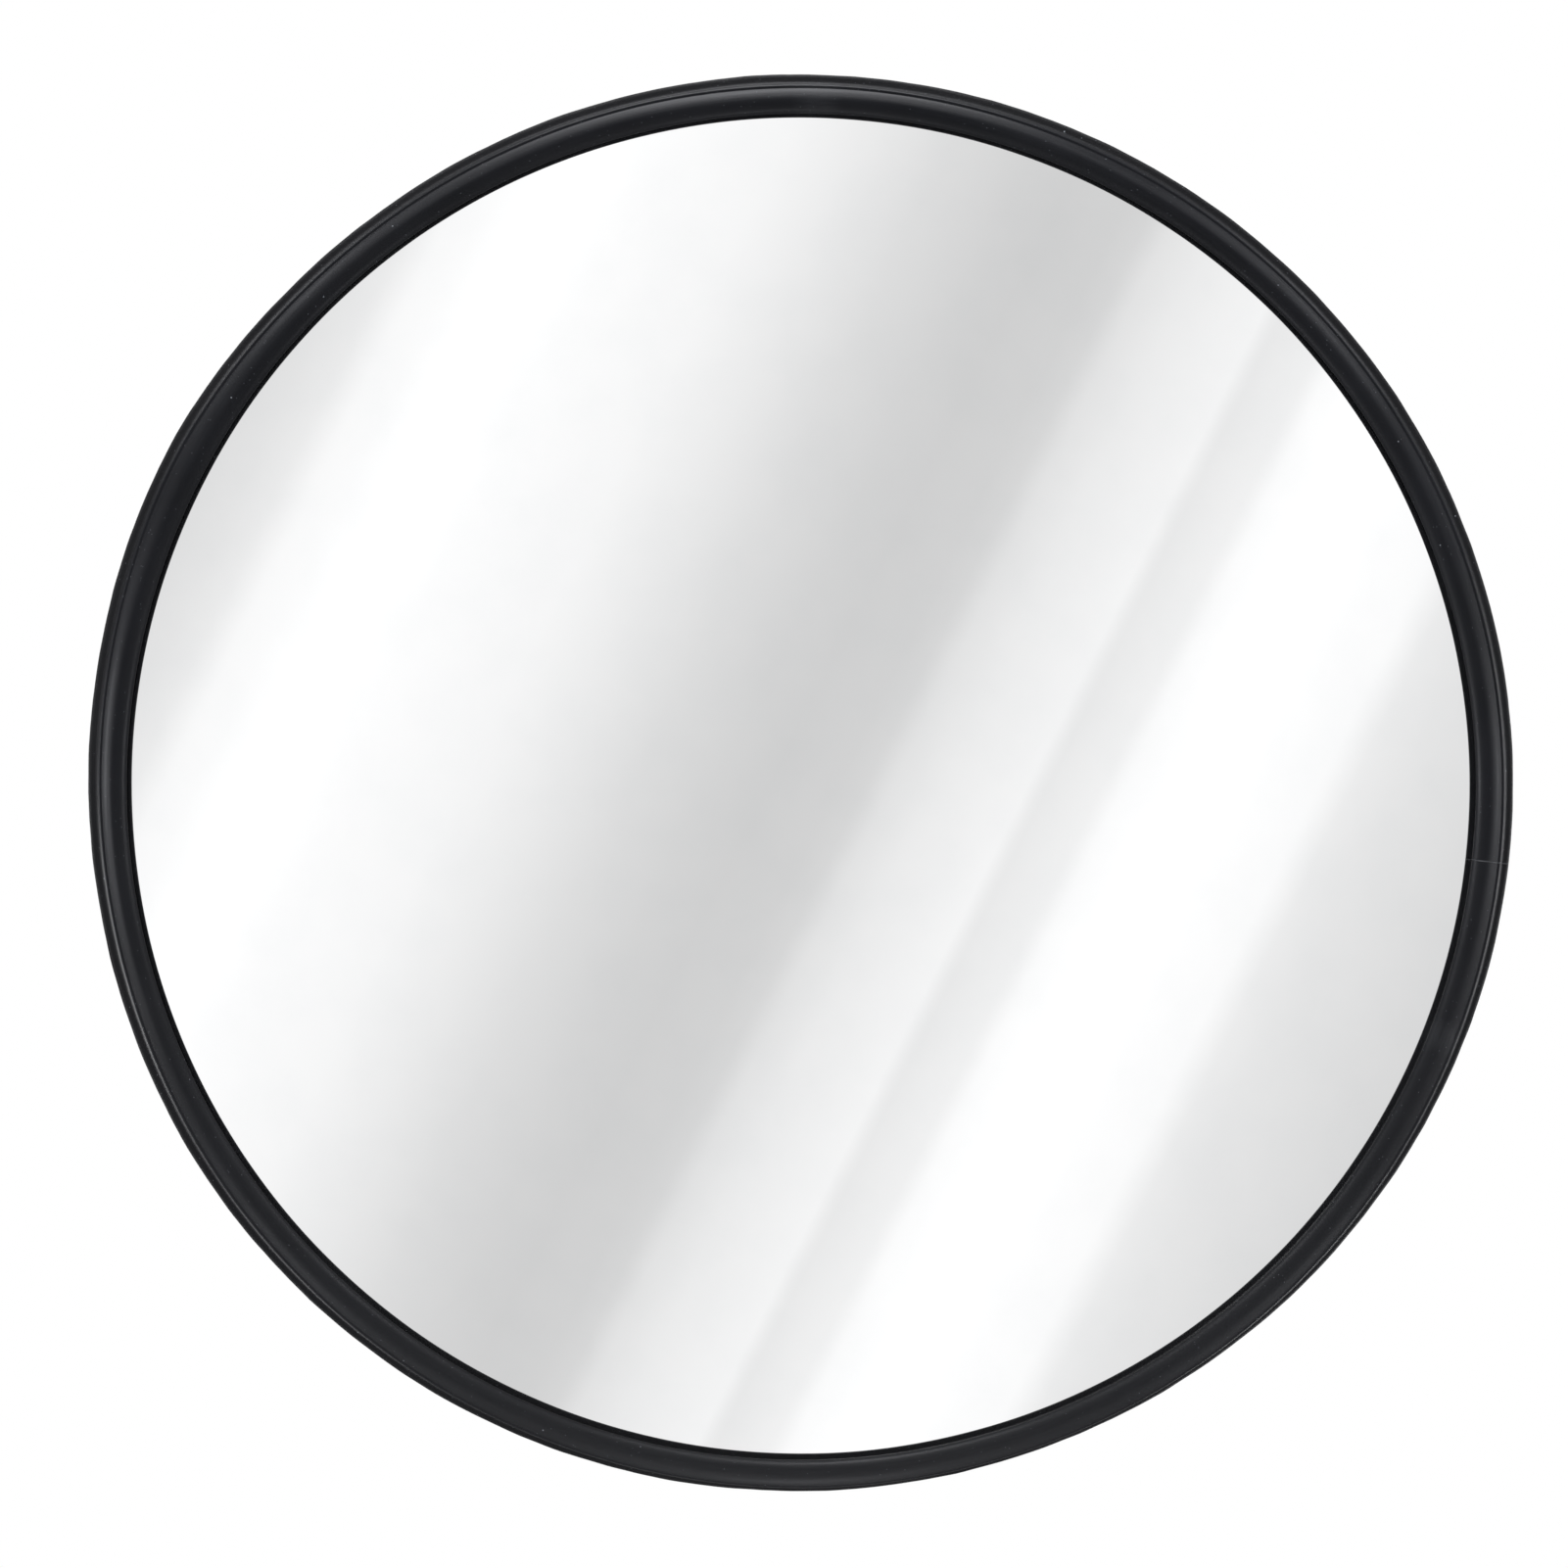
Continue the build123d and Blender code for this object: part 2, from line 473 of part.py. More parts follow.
# The trim is a U-channel over the rims of the lens, the gasket and the shell. A rounded bead shows
# from the front, with a narrow lower lip outside it.
with BuildPart() as edge_trim:
    lip_radius = TRIM_RADIUS - TRIM_LIP_WIDTH
    lip_out = TRIM_FACE_OUT - TRIM_LIP_DROP
    back_reach = TRIM_RADIUS - TRIM_BACK_REACH
    rim_slot = TRIM_RADIUS - TRIM_SIDE
    with BuildSketch(Plane.XY) as section:
        with BuildLine():
            Polyline(
                (SIGHT_RADIUS, -LENS_FACE_OUT - TRIM_TOE_HEIGHT),
                (SIGHT_RADIUS, -TRIM_FACE_OUT),
                (lip_radius, -TRIM_FACE_OUT),
                (lip_radius, -lip_out),
                (TRIM_RADIUS, -lip_out),
                (TRIM_RADIUS, -TRIM_BACK_OUT),
                (back_reach, -TRIM_BACK_OUT),
                (back_reach, -SHELL_FLANGE_OUT),
                (rim_slot, -SHELL_FLANGE_OUT),
                (rim_slot, -LENS_FACE_OUT),
                (DOME_ROOT_RADIUS, -LENS_FACE_OUT),
                close=True,
            )
        make_face()
        fillet(section.vertices().group_by(Axis.Y)[0].sort_by(Axis.X)[-1], TRIM_OUTER_SHOULDER)
        fillet(section.vertices().group_by(Axis.Y)[0].sort_by(Axis.X)[0], TRIM_INNER_SHOULDER)
        fillet(section.vertices().group_by(Axis.X)[-1].sort_by(Axis.Y)[0], TRIM_LIP_CORNER)
        fillet(section.vertices().group_by(Axis.Y)[-1], TRIM_BACK_CORNER)
    revolve(axis=Axis.Y)

# ---- one STEP file for each piece ------------------------------------------------------------
PIECES = {
    "wall_plate": wall_plate,
    "arm_tube": arm_tube,
    "arm_weld": arm_weld,
    "pan_barrel": pan_barrel,
    "swivel_fork": swivel_fork,
    "pan_bolt": pan_bolt,
    "pan_thrust_washers": pan_thrust_washers,
    "pan_flat_washer": pan_flat_washer,
    "pan_lock_washer": pan_lock_washer,
    "pan_wing_nut": pan_wing_nut,
    "tilt_clevis": tilt_clevis,
    "tilt_bolt": tilt_bolt,
    "tilt_thrust_washers": tilt_thrust_washers,
    "tilt_flat_washer": tilt_flat_washer,
    "tilt_lock_washer": tilt_lock_washer,
    "tilt_wing_nut": tilt_wing_nut,
    "head_plate": head_plate,
    "head_screws": head_screws,
    "backing_plate": backing_plate,
    "head_nuts": head_nuts,
    "back_shell": back_shell,
    "lens_gasket": lens_gasket,
    "mirror_lens": mirror_lens,
    "edge_trim": edge_trim,
}

os.makedirs("parts", exist_ok=True)
for node, piece in PIECES.items():
    piece.part.label = node
    export_step(piece.part, f"parts/{node}.step")
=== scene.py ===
import json
from math import atan2, cos, exp, hypot, pi, radians, sin, sqrt

import bmesh
import bpy
from mathutils import Matrix, Vector, noise


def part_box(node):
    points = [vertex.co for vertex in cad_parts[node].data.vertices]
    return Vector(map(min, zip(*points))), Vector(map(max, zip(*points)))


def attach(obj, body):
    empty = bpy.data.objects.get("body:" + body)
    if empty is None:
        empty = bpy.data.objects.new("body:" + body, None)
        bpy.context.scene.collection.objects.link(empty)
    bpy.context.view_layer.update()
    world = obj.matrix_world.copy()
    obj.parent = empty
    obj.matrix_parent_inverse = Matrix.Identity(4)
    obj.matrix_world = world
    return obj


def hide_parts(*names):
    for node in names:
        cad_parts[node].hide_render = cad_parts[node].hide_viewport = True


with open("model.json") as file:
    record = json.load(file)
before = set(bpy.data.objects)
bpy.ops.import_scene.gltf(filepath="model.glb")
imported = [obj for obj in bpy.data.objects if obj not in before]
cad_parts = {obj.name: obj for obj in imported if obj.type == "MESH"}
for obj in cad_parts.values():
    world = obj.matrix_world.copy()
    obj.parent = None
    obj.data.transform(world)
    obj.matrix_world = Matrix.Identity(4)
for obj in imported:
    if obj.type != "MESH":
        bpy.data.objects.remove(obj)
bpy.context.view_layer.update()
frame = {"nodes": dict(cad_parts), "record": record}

# The mirror faces -Y, +Z is up, and the wall is at y = 0. Sizes are in metres, and an angle round the
# head runs from +X towards +Z. "Out" is a distance from the wall, along -Y.
MM = 0.001
AXIS_Y = Vector((0, 1, 0))
MERGE_DISTANCE = 0.001 * MM
ON_AXIS = 0.0001 * MM

# ---- places read from the frame --------------------------------------------------------------
TRIM_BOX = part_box("edge_trim")
LENS_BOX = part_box("mirror_lens")
SHELL_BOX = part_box("back_shell")
BARREL_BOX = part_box("pan_barrel")
ARM_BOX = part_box("arm_tube")
CLEVIS_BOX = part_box("tilt_clevis")
FORK_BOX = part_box("swivel_fork")

TRIM_RADIUS = TRIM_BOX[1][0]
TRIM_BACK_OUT = -TRIM_BOX[1][1]
RIM_RADIUS = LENS_BOX[1][0]
DOME_APEX_OUT = -LENS_BOX[0][1]
LENS_OUT = -LENS_BOX[1][1]
SHELL_OUT = -SHELL_BOX[1][1]
BARREL_RADIUS = BARREL_BOX[1][0]
ARM_RADIUS = ARM_BOX[1][0]
JOINTS = {joint["name"]: joint for joint in frame["record"]["behaviour"]["joints"]}
PAN_OUT = -JOINTS["pan"]["pos_m"][1]
TILT_OUT = -JOINTS["tilt"]["pos_m"][1]

# ---- sizes of the mirror head ----------------------------------------------------------------
LENS_WALL = 2 * MM
DOME_ROOT_RADIUS = 144.5 * MM
DOME_SAG = DOME_APEX_OUT - LENS_OUT - LENS_WALL
DOME_RADIUS = (DOME_ROOT_RADIUS**2 + DOME_SAG**2) / (2 * DOME_SAG)
SHELL_WALL = 2.5 * MM
SHELL_BOSS_RADIUS = 44 * MM
SHELL_BOSS_HEIGHT = 2.5 * MM
SHELL_PANEL_RADIUS = 108 * MM
SHELL_PANEL_DEPTH = 8 * MM
SHELL_RIB_COUNT = 8
SHELL_RIB_ANGLE = radians(22.5)
SHELL_RIB_START = 45.25 * MM
SHELL_RIB_END = 104 * MM
SHELL_RIB_WIDTH = 2.4 * MM
SHELL_RIB_HEIGHT = 1.4 * MM
SHELL_RIB_CREST = (0.92, 1, 0.7)
SHELL_FLANGE_OUT = SHELL_OUT + SHELL_BOSS_HEIGHT + SHELL_PANEL_DEPTH
LENS_FACE_OUT = LENS_OUT + LENS_WALL

# ---- sizes of the bracket --------------------------------------------------------------------
PLATE_THICKNESS = 2.5 * MM
FORK_EAR_THICKNESS = 4.5 * MM
CLEVIS_WEB_THICKNESS = 2.5 * MM
CLEVIS_WELD_RADIUS = 1.5 * MM
CLEVIS_WELD_RIPPLES = 15
CLEVIS_WELD_STEPS = 110
# A weld bead's thickness, as a gain: in its valleys, what its crests add, and its unevenness.
WELD_VALLEY = 0.88
WELD_CREST = 0.16
WELD_LUMPS = 0.07
WELD_DRIFT = 0.35
WELD_SIDES = 14
WELD_STEPS_PER_RIPPLE = 7
PIVOT_BORE = 3.06 * MM
BOLT_HEAD_RADIUS = 7.2 * MM
BOLT_HEAD_HEIGHT = 3.2 * MM
BOLT_HEAD_RIM = 0.4 * MM
BOLT_NECK_WIDTH = 6 * MM
BOLT_TIP_CHAMFER = 0.8 * MM
BOLT_TIP_SLOPE = 0.9
THREAD_RADIUS = 2.98 * MM
THREAD_DEPTH = 0.55 * MM
THREAD_PITCH = 1 * MM
THREAD_RUN_IN = 1.5 * THREAD_PITCH
THREAD_ROOT_SHARE = 0.12
THREAD_FLANK_SHARE = 0.70
THREAD_SIDES = 36
THREAD_STEPS = 8
PAN_THREAD_BELOW_NUT = 8 * MM
TILT_THREAD_BELOW_NUT = 6 * MM
NUT_BASE_RADIUS = 6.2 * MM
NUT_HEIGHT = 8 * MM
WING_REACH = 14 * MM
WING_RADIUS = 4.6 * MM
WING_HEIGHT = 9 * MM
WING_HALF_THICKNESS = 1.1 * MM
WING_DISH = 0.62
WING_LEAN_X, WING_LEAN_Z = 0.72, 0.69
WING_ROOT_X, WING_ROOT_Z = 2.6 * MM, 3.2 * MM

# ---- sizes of the trim -----------------------------------------------------------------------
# The trim is soft and pushed on by hand, so its bead sits a little low and its lip wanders.
BEAD_SHIFT = Vector((0.42 * MM, 0, -0.5 * MM))
SIGHT_RADIUS = 143.85 * MM
BEAD_OUTER_RADIUS = 149.45 * MM
RIDGE_RADIUS = 149.95 * MM
LIP_RADIUS = 151.8 * MM
BEAD_FACE_OUT = LENS_FACE_OUT + 3.0 * MM
TRIM_SIDE = 2.2 * MM
TRIM_BACK_REACH = 12 * MM
TRIM_STEPS = 480
TRIM_WIDEST = TRIM_RADIUS - 0.02 * MM
SEAT_TOLERANCE = 0.1 * MM
MATT_FROM, MATT_TO = RIDGE_RADIUS + 0.25 * MM, RIDGE_RADIUS + 0.6 * MM
# Each stretch that stands off the rim, or is pulled in: its middle, its width and how far it moves.
SLACK_STRETCHES = [(radians(152), radians(13), 0.85 * MM), (radians(192), radians(14), -0.35 * MM)]
SLACK_FROM, SLACK_TO = 146 * MM, 150 * MM
# The lip's slow waves: how many go round the head, how high they are and how far they are turned.
LIP_WAVES = [(1, 0.11 * MM, radians(32)), (2, 0.5 * MM, radians(-18)), (3, 0.16 * MM, radians(48))]
# The lip's small waves: how quick they are, a seed and how high they are.
LIP_RIPPLES = [(9, 2.0, 0.1 * MM), (34, 5.0, 0.08 * MM)]
FACE_RIPPLE_TURNS, FACE_RIPPLE_SEED = 6, 8.0
BEAD_RISE, LIP_RISE = 0.05 * MM, 0.21 * MM
TUCK_ANGLE = radians(78)
TUCK_DEPTH = 0.7 * MM
TRIM_JOINT_ANGLE = radians(-6.5)
JOINT_HALF_ANGLE = 0.0012
# The painted light round the bottom and the smudges are placed by their angle from the point opposite
# the joint.
UNDERLIGHT_ANGLE = radians(96.5)
SMUDGES = [(radians(165), radians(1.6)), (radians(-85), radians(2.2))]


# ---- mesh helpers ----------------------------------------------------------------------------
def finish_piece(name, bm, material, body, replaced=(), sharp_angle=35):
    """Make an object of a finished mesh, attach it to the body it rides on, and hide the parts it stands
    in for.
    """
    mesh = bpy.data.meshes.new(name)
    bm.to_mesh(mesh)
    bm.free()
    mesh.shade_smooth()
    mesh.set_sharp_from_angle(angle=radians(sharp_angle))
    mesh.materials.append(material)
    piece = bpy.data.objects.new(name, mesh)
    bpy.context.scene.collection.objects.link(piece)
    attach(piece, body)
    if replaced:
        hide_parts(*replaced)
    return piece


def outline_face(bm, corners):
    """A flat face whose corners are (radius, out) pairs, beside the Y axis."""
    return bm.faces.new([bm.verts.new((radius, -out, 0)) for radius, out in corners])


def round_corner(bm, place, size, segments=5):
    """Round the corner of an outline that is nearest to a (radius, out) place."""
    target = Vector((place[0], -place[1], 0))
    corner = min(bm.verts, key=lambda vert: (vert.co - target).length)
    bmesh.ops.bevel(
        bm, geom=[corner], offset=size, offset_type="OFFSET", affect="VERTICES", segments=segments,
        profile=0.5, material=-1,
    )


def edges_within(edges, verts):
    """The edges that have both their ends in a list of vertices."""
    return [edge for edge in edges if edge.verts[0] in verts and edge.verts[1] in verts]


def extrude_ring(bm, edges):
    """Extrude a ring of edges where it lies, and return the new ring's vertices and edges."""
    grown = bmesh.ops.extrude_edge_only(bm, edges=edges)["geom"]
    verts = [part for part in grown if isinstance(part, bmesh.types.BMVert)]
    new_edges = [part for part in grown if isinstance(part, bmesh.types.BMEdge)]
    return verts, edges_within(new_edges, verts)


def clean_mesh(bm):
    """Join vertices that lie together, and turn every face outwards."""
    bmesh.ops.remove_doubles(bm, verts=bm.verts, dist=MERGE_DISTANCE)
    bmesh.ops.recalc_face_normals(bm, faces=bm.faces)


def turn_outline(bm, steps):
    """Spin an outline's edges about the Y axis into a closed solid."""
    bmesh.ops.delete(bm, geom=bm.faces[:], context="FACES_ONLY")
    on_axis = [edge for edge in bm.edges if max(abs(vert.co.x) for vert in edge.verts) < ON_AXIS]
    bmesh.ops.delete(bm, geom=on_axis, context="EDGES")
    bmesh.ops.spin(
        bm, geom=bm.verts[:] + bm.edges[:], cent=(0, 0, 0), axis=AXIS_Y, angle=2 * pi, steps=steps,
        use_merge=True,
    )
    clean_mesh(bm)


# ---- material helpers ------------------------------------------------------------------------
class NodeBuilder:
    """Adds nodes to one node tree, and links them."""

    def __init__(self, tree):
        self.tree = tree

    def add(self, kind, **settings):
        made = self.tree.nodes.new(kind)
        for key, value in settings.items():
            setattr(made, key, value)
        return made

    def feed(self, socket, value):
        """Give a socket a fixed value, or link another node's output to it."""
        if isinstance(value, bpy.types.NodeSocket):
            self.tree.links.new(value, socket)
        else:
            socket.default_value = value

    def ramp(self, value, low, high, at_low, at_high):
        """Carry a value from low..high to at_low..at_high, held at both ends."""
        scaled = self.add("ShaderNodeMapRange", clamp=True)
        self.feed(scaled.inputs["Value"], value)
        numbers = {"From Min": low, "From Max": high, "To Min": at_low, "To Max": at_high}
        for socket, number in numbers.items():
            scaled.inputs[socket].default_value = number
        return scaled.outputs["Result"]

    def math(self, operation, first, second=0.0):
        made = self.add("ShaderNodeMath", operation=operation)
        self.feed(made.inputs[0], first)
        self.feed(made.inputs[1], second)
        return made.outputs["Value"]

    def mix(self, amount, first, second, blend="MIX"):
        """Mix two colours, each a triple or another node's output."""
        made = self.add("ShaderNodeMix", data_type="RGBA", blend_type=blend)
        self.feed(made.inputs["Factor"], amount)
        sockets = [socket for socket in made.inputs if socket.type == "RGBA"]
        for socket, color in zip(sockets, (first, second)):
            self.feed(socket, color if isinstance(color, bpy.types.NodeSocket) else (*color, 1.0))
        return [socket for socket in made.outputs if socket.type == "RGBA"][0]


class Finish(NodeBuilder):
    """A procedural material, built node by node round one Principled shader."""

    def __init__(self, name, color, roughness, metallic=0.0, specular=0.5):
        self.material = bpy.data.materials.new(name)
        self.material.use_nodes = True
        super().__init__(self.material.node_tree)
        self.shader = self.tree.nodes["Principled BSDF"]
        self.set("Base Color", (*color, 1.0))
        self.set("Roughness", roughness)
        self.set("Metallic", metallic)
        self.set("Specular IOR Level", specular)
        self.position = self.add("ShaderNodeTexCoord").outputs["Object"]
        self.normal = None

    def set(self, socket, value):
        self.shader.inputs[socket].default_value = value

    def noise(self, size, detail=3.0, stretch=(1, 1, 1), offset=0.0):
        """Noise from 0 to 1 whose blotches are about `size` metres across."""
        mapping = self.add("ShaderNodeMapping")
        self.feed(mapping.inputs["Vector"], self.position)
        mapping.inputs["Scale"].default_value = [part / size for part in stretch]
        mapping.inputs["Location"].default_value = (offset, offset, offset)
        texture = self.add("ShaderNodeTexNoise")
        texture.inputs["Scale"].default_value = 1.0
        texture.inputs["Detail"].default_value = detail
        self.feed(texture.inputs["Vector"], mapping.outputs["Vector"])
        return texture.outputs["Fac"]

    def ring_position(self, start_angle):
        """Positions round the head as (arc length, radius, out), with the arc cut at an angle."""
        turned = self.add("ShaderNodeVectorRotate", rotation_type="Y_AXIS")
        self.feed(turned.inputs["Vector"], self.position)
        turned.inputs["Angle"].default_value = pi + start_angle
        parts = self.add("ShaderNodeSeparateXYZ")
        self.feed(parts.inputs["Vector"], turned.outputs["Vector"])
        x, y, z = (parts.outputs[name] for name in "XYZ")
        squares = [self.math("MULTIPLY", side, side) for side in (x, z)]
        radius = self.math("SQRT", self.math("ADD", *squares))
        angle = self.math("ARCTAN2", z, x)
        joined = self.add("ShaderNodeCombineXYZ")
        for socket, value in zip(joined.inputs, (self.math("MULTIPLY", angle, TRIM_RADIUS), radius, y)):
            self.feed(socket, value)
        return joined.outputs["Vector"], angle

    def specks(self, spacing, size, offset=0.0):
        """A mask of scattered round specks: 1 on a speck and 0 elsewhere."""
        mapping = self.add("ShaderNodeMapping")
        self.feed(mapping.inputs["Vector"], self.position)
        mapping.inputs["Scale"].default_value = [1 / spacing] * 3
        mapping.inputs["Location"].default_value = (offset, offset, offset)
        texture = self.add("ShaderNodeTexVoronoi")
        texture.inputs["Scale"].default_value = 1.0
        self.feed(texture.inputs["Vector"], mapping.outputs["Vector"])
        return self.ramp(texture.outputs["Distance"], size / spacing, 0.5 * size / spacing, 0.0, 1.0)

    def bump(self, height, depth, strength=1.0):
        """Add relief of a depth in metres, over what relief there is already."""
        made = self.add("ShaderNodeBump")
        made.inputs["Strength"].default_value = strength
        made.inputs["Distance"].default_value = depth
        self.feed(made.inputs["Height"], height)
        if self.normal:
            self.feed(made.inputs["Normal"], self.normal)
        self.normal = made.outputs["Normal"]
        self.feed(self.shader.inputs["Normal"], self.normal)

    def soft_edges(self, radius):
        """Shade sharp edges as if they were rounded."""
        bevel = self.add("ShaderNodeBevel", samples=6)
        bevel.inputs["Radius"].default_value = radius
        self.normal = bevel.outputs["Normal"]
        self.feed(self.shader.inputs["Normal"], self.normal)

    def color(self, value):
        self.feed(self.shader.inputs["Base Color"], value)

    def roughness(self, value):
        self.feed(self.shader.inputs["Roughness"], value)


# ---- finishes --------------------------------------------------------------------------------
def trim_rubber():
    """Satin extruded rubber: die lines along it, dust in its pores, a matt lip, a butt joint and painted
    light round its bottom.
    """
    finish = Finish("trim_rubber", (0.0042, 0.0042, 0.006), 0.4, specular=0.118)
    finish.set("Specular Tint", (0.94, 0.95, 1.0, 1.0))
    matt = finish.add("ShaderNodeAttribute", attribute_name="matt").outputs["Fac"]
    cloud = finish.noise(16 * MM, detail=5)
    grain = finish.noise(0.3 * MM, detail=2, offset=3.1)
    object_position = finish.position
    finish.position, angle = finish.ring_position(TRIM_JOINT_ANGLE)
    die_lines = finish.noise(0.9 * MM, detail=3, stretch=(0.02, 1, 1))
    drag = finish.noise(0.5 * MM, detail=2, stretch=(0.06, 1, 1), offset=6.0)
    finish.position = object_position
    settled = finish.ramp(cloud, 0.42, 0.55, 0, 1)
    big_dust = finish.math("MULTIPLY", finish.specks(5 * MM, 0.2 * MM), settled)
    fine_dust = finish.math("MULTIPLY", finish.specks(1.3 * MM, 0.1 * MM, offset=7.7), 0.4)
    dust = finish.math("MAXIMUM", big_dust, fine_dust)
    from_joint = finish.math("ABSOLUTE", finish.math("SUBTRACT", finish.math("ABSOLUTE", angle), pi))
    joint = finish.ramp(from_joint, JOINT_HALF_ANGLE, JOINT_HALF_ANGLE / 3, 0, 1)
    cloudy = finish.ramp(cloud, 0.3, 0.7, 0, 1)
    plain = finish.mix(cloudy, (0.0014, 0.0016, 0.0023), (0.0029, 0.0031, 0.0041))
    # Painted light: a lighter base colour round the bottom of the trim, streaked by the drag noise,
    # stands in for light from below.
    from_underlight = finish.math("ABSOLUTE", finish.math("SUBTRACT", angle, UNDERLIGHT_ANGLE))
    underlight_streaks = finish.ramp(drag, 0.3, 0.6, 0.7, 1)
    painted_underlight = finish.math("MULTIPLY", finish.ramp(from_underlight, 1.6, 0.2, 0, 1), underlight_streaks)
    plain = finish.mix(painted_underlight, plain, (0.0068, 0.0070, 0.0078))
    plain = finish.mix(finish.math("MULTIPLY", matt, 0.85), plain, (0.0014, 0.0014, 0.0018))
    dusty = finish.mix(dust, plain, (0.15, 0.16, 0.18))
    rubbed = finish.ramp(drag, 0.35, 0.6, 0.4, 1)
    bare = finish.math("MULTIPLY", finish.math("SUBTRACT", 1.0, matt), rubbed)
    for place, width in SMUDGES:
        away = finish.math("ABSOLUTE", finish.math("SUBTRACT", angle, place))
        smudge = finish.math("MULTIPLY", finish.ramp(away, width, 0.3 * width, 0, 0.08), bare)
        dusty = finish.mix(smudge, dusty, (0.055, 0.057, 0.062))
    finish.color(finish.mix(finish.math("MULTIPLY", joint, 0.3), dusty, (0.07, 0.072, 0.078)))
    satin = finish.ramp(die_lines, 0.3, 0.7, 0.31, 0.45)
    finish.roughness(finish.math("ADD", satin, finish.math("MULTIPLY", matt, 0.25)))
    finish.bump(die_lines, 0.05 * MM, strength=0.22)
    finish.bump(drag, 0.03 * MM, strength=0.18)
    finish.bump(grain, 0.03 * MM, strength=0.2)
    lip_texture = finish.math("MULTIPLY", finish.noise(0.7 * MM, detail=3, offset=1.7), matt)
    finish.bump(lip_texture, 0.2 * MM, strength=0.4)
    finish.bump(joint, -0.2 * MM, strength=0.8)
    return finish.material


def mirror_coating():
    """Vacuum-metallised acrylic: almost a perfect mirror, with the faint flow of a formed sheet."""
    finish = Finish("mirror_coating", (0.93, 0.935, 0.94), 0.015, metallic=1.0)
    flow = finish.noise(70 * MM, detail=1.5)
    film = finish.noise(14 * MM, detail=4, offset=5.0)
    finish.roughness(finish.ramp(film, 0.45, 0.75, 0.012, 0.035))
    filmed = finish.ramp(film, 0.4, 0.8, 0, 1)
    finish.color(finish.mix(filmed, (0.94, 0.942, 0.945), (0.915, 0.92, 0.925)))
    finish.bump(flow, 0.05 * MM, strength=0.35)
    return finish.material


def moulded_plastic():
    """Black shell with a fine spark-eroded grain and the odd scuff."""
    finish = Finish("moulded_plastic", (0.01, 0.01, 0.011), 0.5, specular=0.28)
    finish.soft_edges(0.4 * MM)
    cloud = finish.noise(45 * MM, detail=5)
    scuff = finish.noise(2.5 * MM, detail=5, stretch=(1, 1, 0.08), offset=9.0)
    worn = finish.ramp(cloud, 0.5, 0.65, 0, 1)
    scuffed = finish.math("MULTIPLY", finish.ramp(scuff, 0.62, 0.72, 0, 1), worn)
    plain = finish.mix(cloud, (0.008, 0.008, 0.009), (0.014, 0.014, 0.0155))
    finish.color(finish.mix(scuffed, plain, (0.021, 0.021, 0.0225)))
    satin = finish.ramp(cloud, 0.3, 0.7, 0.44, 0.56)
    finish.roughness(finish.math("ADD", satin, finish.math("MULTIPLY", scuffed, 0.1)))
    finish.bump(finish.noise(0.5 * MM, detail=3, offset=2.0), 0.06 * MM, strength=0.5)
    return finish.material


def powder_coat(name, grain, depth):
    """Satin black powder coat: orange peel, and a few chips down to the bare metal."""
    finish = Finish(name, (0.011, 0.011, 0.012), 0.38, specular=0.35)
    finish.soft_edges(0.5 * MM)
    cloud = finish.noise(20 * MM, detail=4)
    knocked = finish.ramp(cloud, 0.52, 0.6, 0, 1)
    chips = finish.math("MULTIPLY", finish.specks(9 * MM, 0.3 * MM, offset=4.0), knocked)
    plain = finish.mix(cloud, (0.009, 0.009, 0.010), (0.015, 0.015, 0.0165))
    finish.color(finish.mix(chips, plain, (0.32, 0.32, 0.33)))
    finish.roughness(finish.ramp(cloud, 0.3, 0.7, 0.32, 0.44))
    finish.bump(finish.noise(grain, detail=2, offset=6.0), depth, strength=0.5)
    return finish.material


def zinc_plate(name, tint, roughness):
    """Bright zinc with a faint blue-yellow passivation and fine drawing marks."""
    finish = Finish(name, tint, roughness, metallic=1.0)
    finish.soft_edges(0.2 * MM)
    cloud = finish.noise(6 * MM, detail=5)
    warm = tuple(part * gain for part, gain in zip(tint, (1.0, 0.97, 0.88)))
    cool = tuple(part * gain for part, gain in zip(tint, (0.9, 0.94, 1.0)))
    finish.color(finish.mix(finish.ramp(cloud, 0.35, 0.65, 0, 1), warm, cool))
    marks = finish.noise(1.2 * MM, detail=5, offset=8.0)
    finish.roughness(finish.ramp(marks, 0.3, 0.7, roughness - 0.08, roughness + 0.1))
    finish.bump(finish.noise(0.8 * MM, detail=2, offset=3.0), 0.01 * MM, strength=0.2)
    return finish.material


def nylon():
    """Natural nylon, a little uneven in colour."""
    finish = Finish("nylon", (0.70, 0.68, 0.60), 0.42)
    finish.soft_edges(0.15 * MM)
    finish.color(finish.mix(finish.noise(3 * MM, detail=3), (0.66, 0.64, 0.56), (0.74, 0.72, 0.65)))
    finish.bump(finish.noise(0.4 * MM, detail=2), 0.01 * MM, strength=0.4)
    return finish.material


def foam():
    """Black closed-cell foam."""
    finish = Finish("foam", (0.04, 0.04, 0.042), 0.9, specular=0.2)
    cells = finish.noise(0.6 * MM, detail=2)
    finish.color(finish.mix(cells, (0.03, 0.03, 0.032), (0.06, 0.06, 0.062)))
    finish.bump(cells, 0.15 * MM, strength=0.8)
    return finish.material


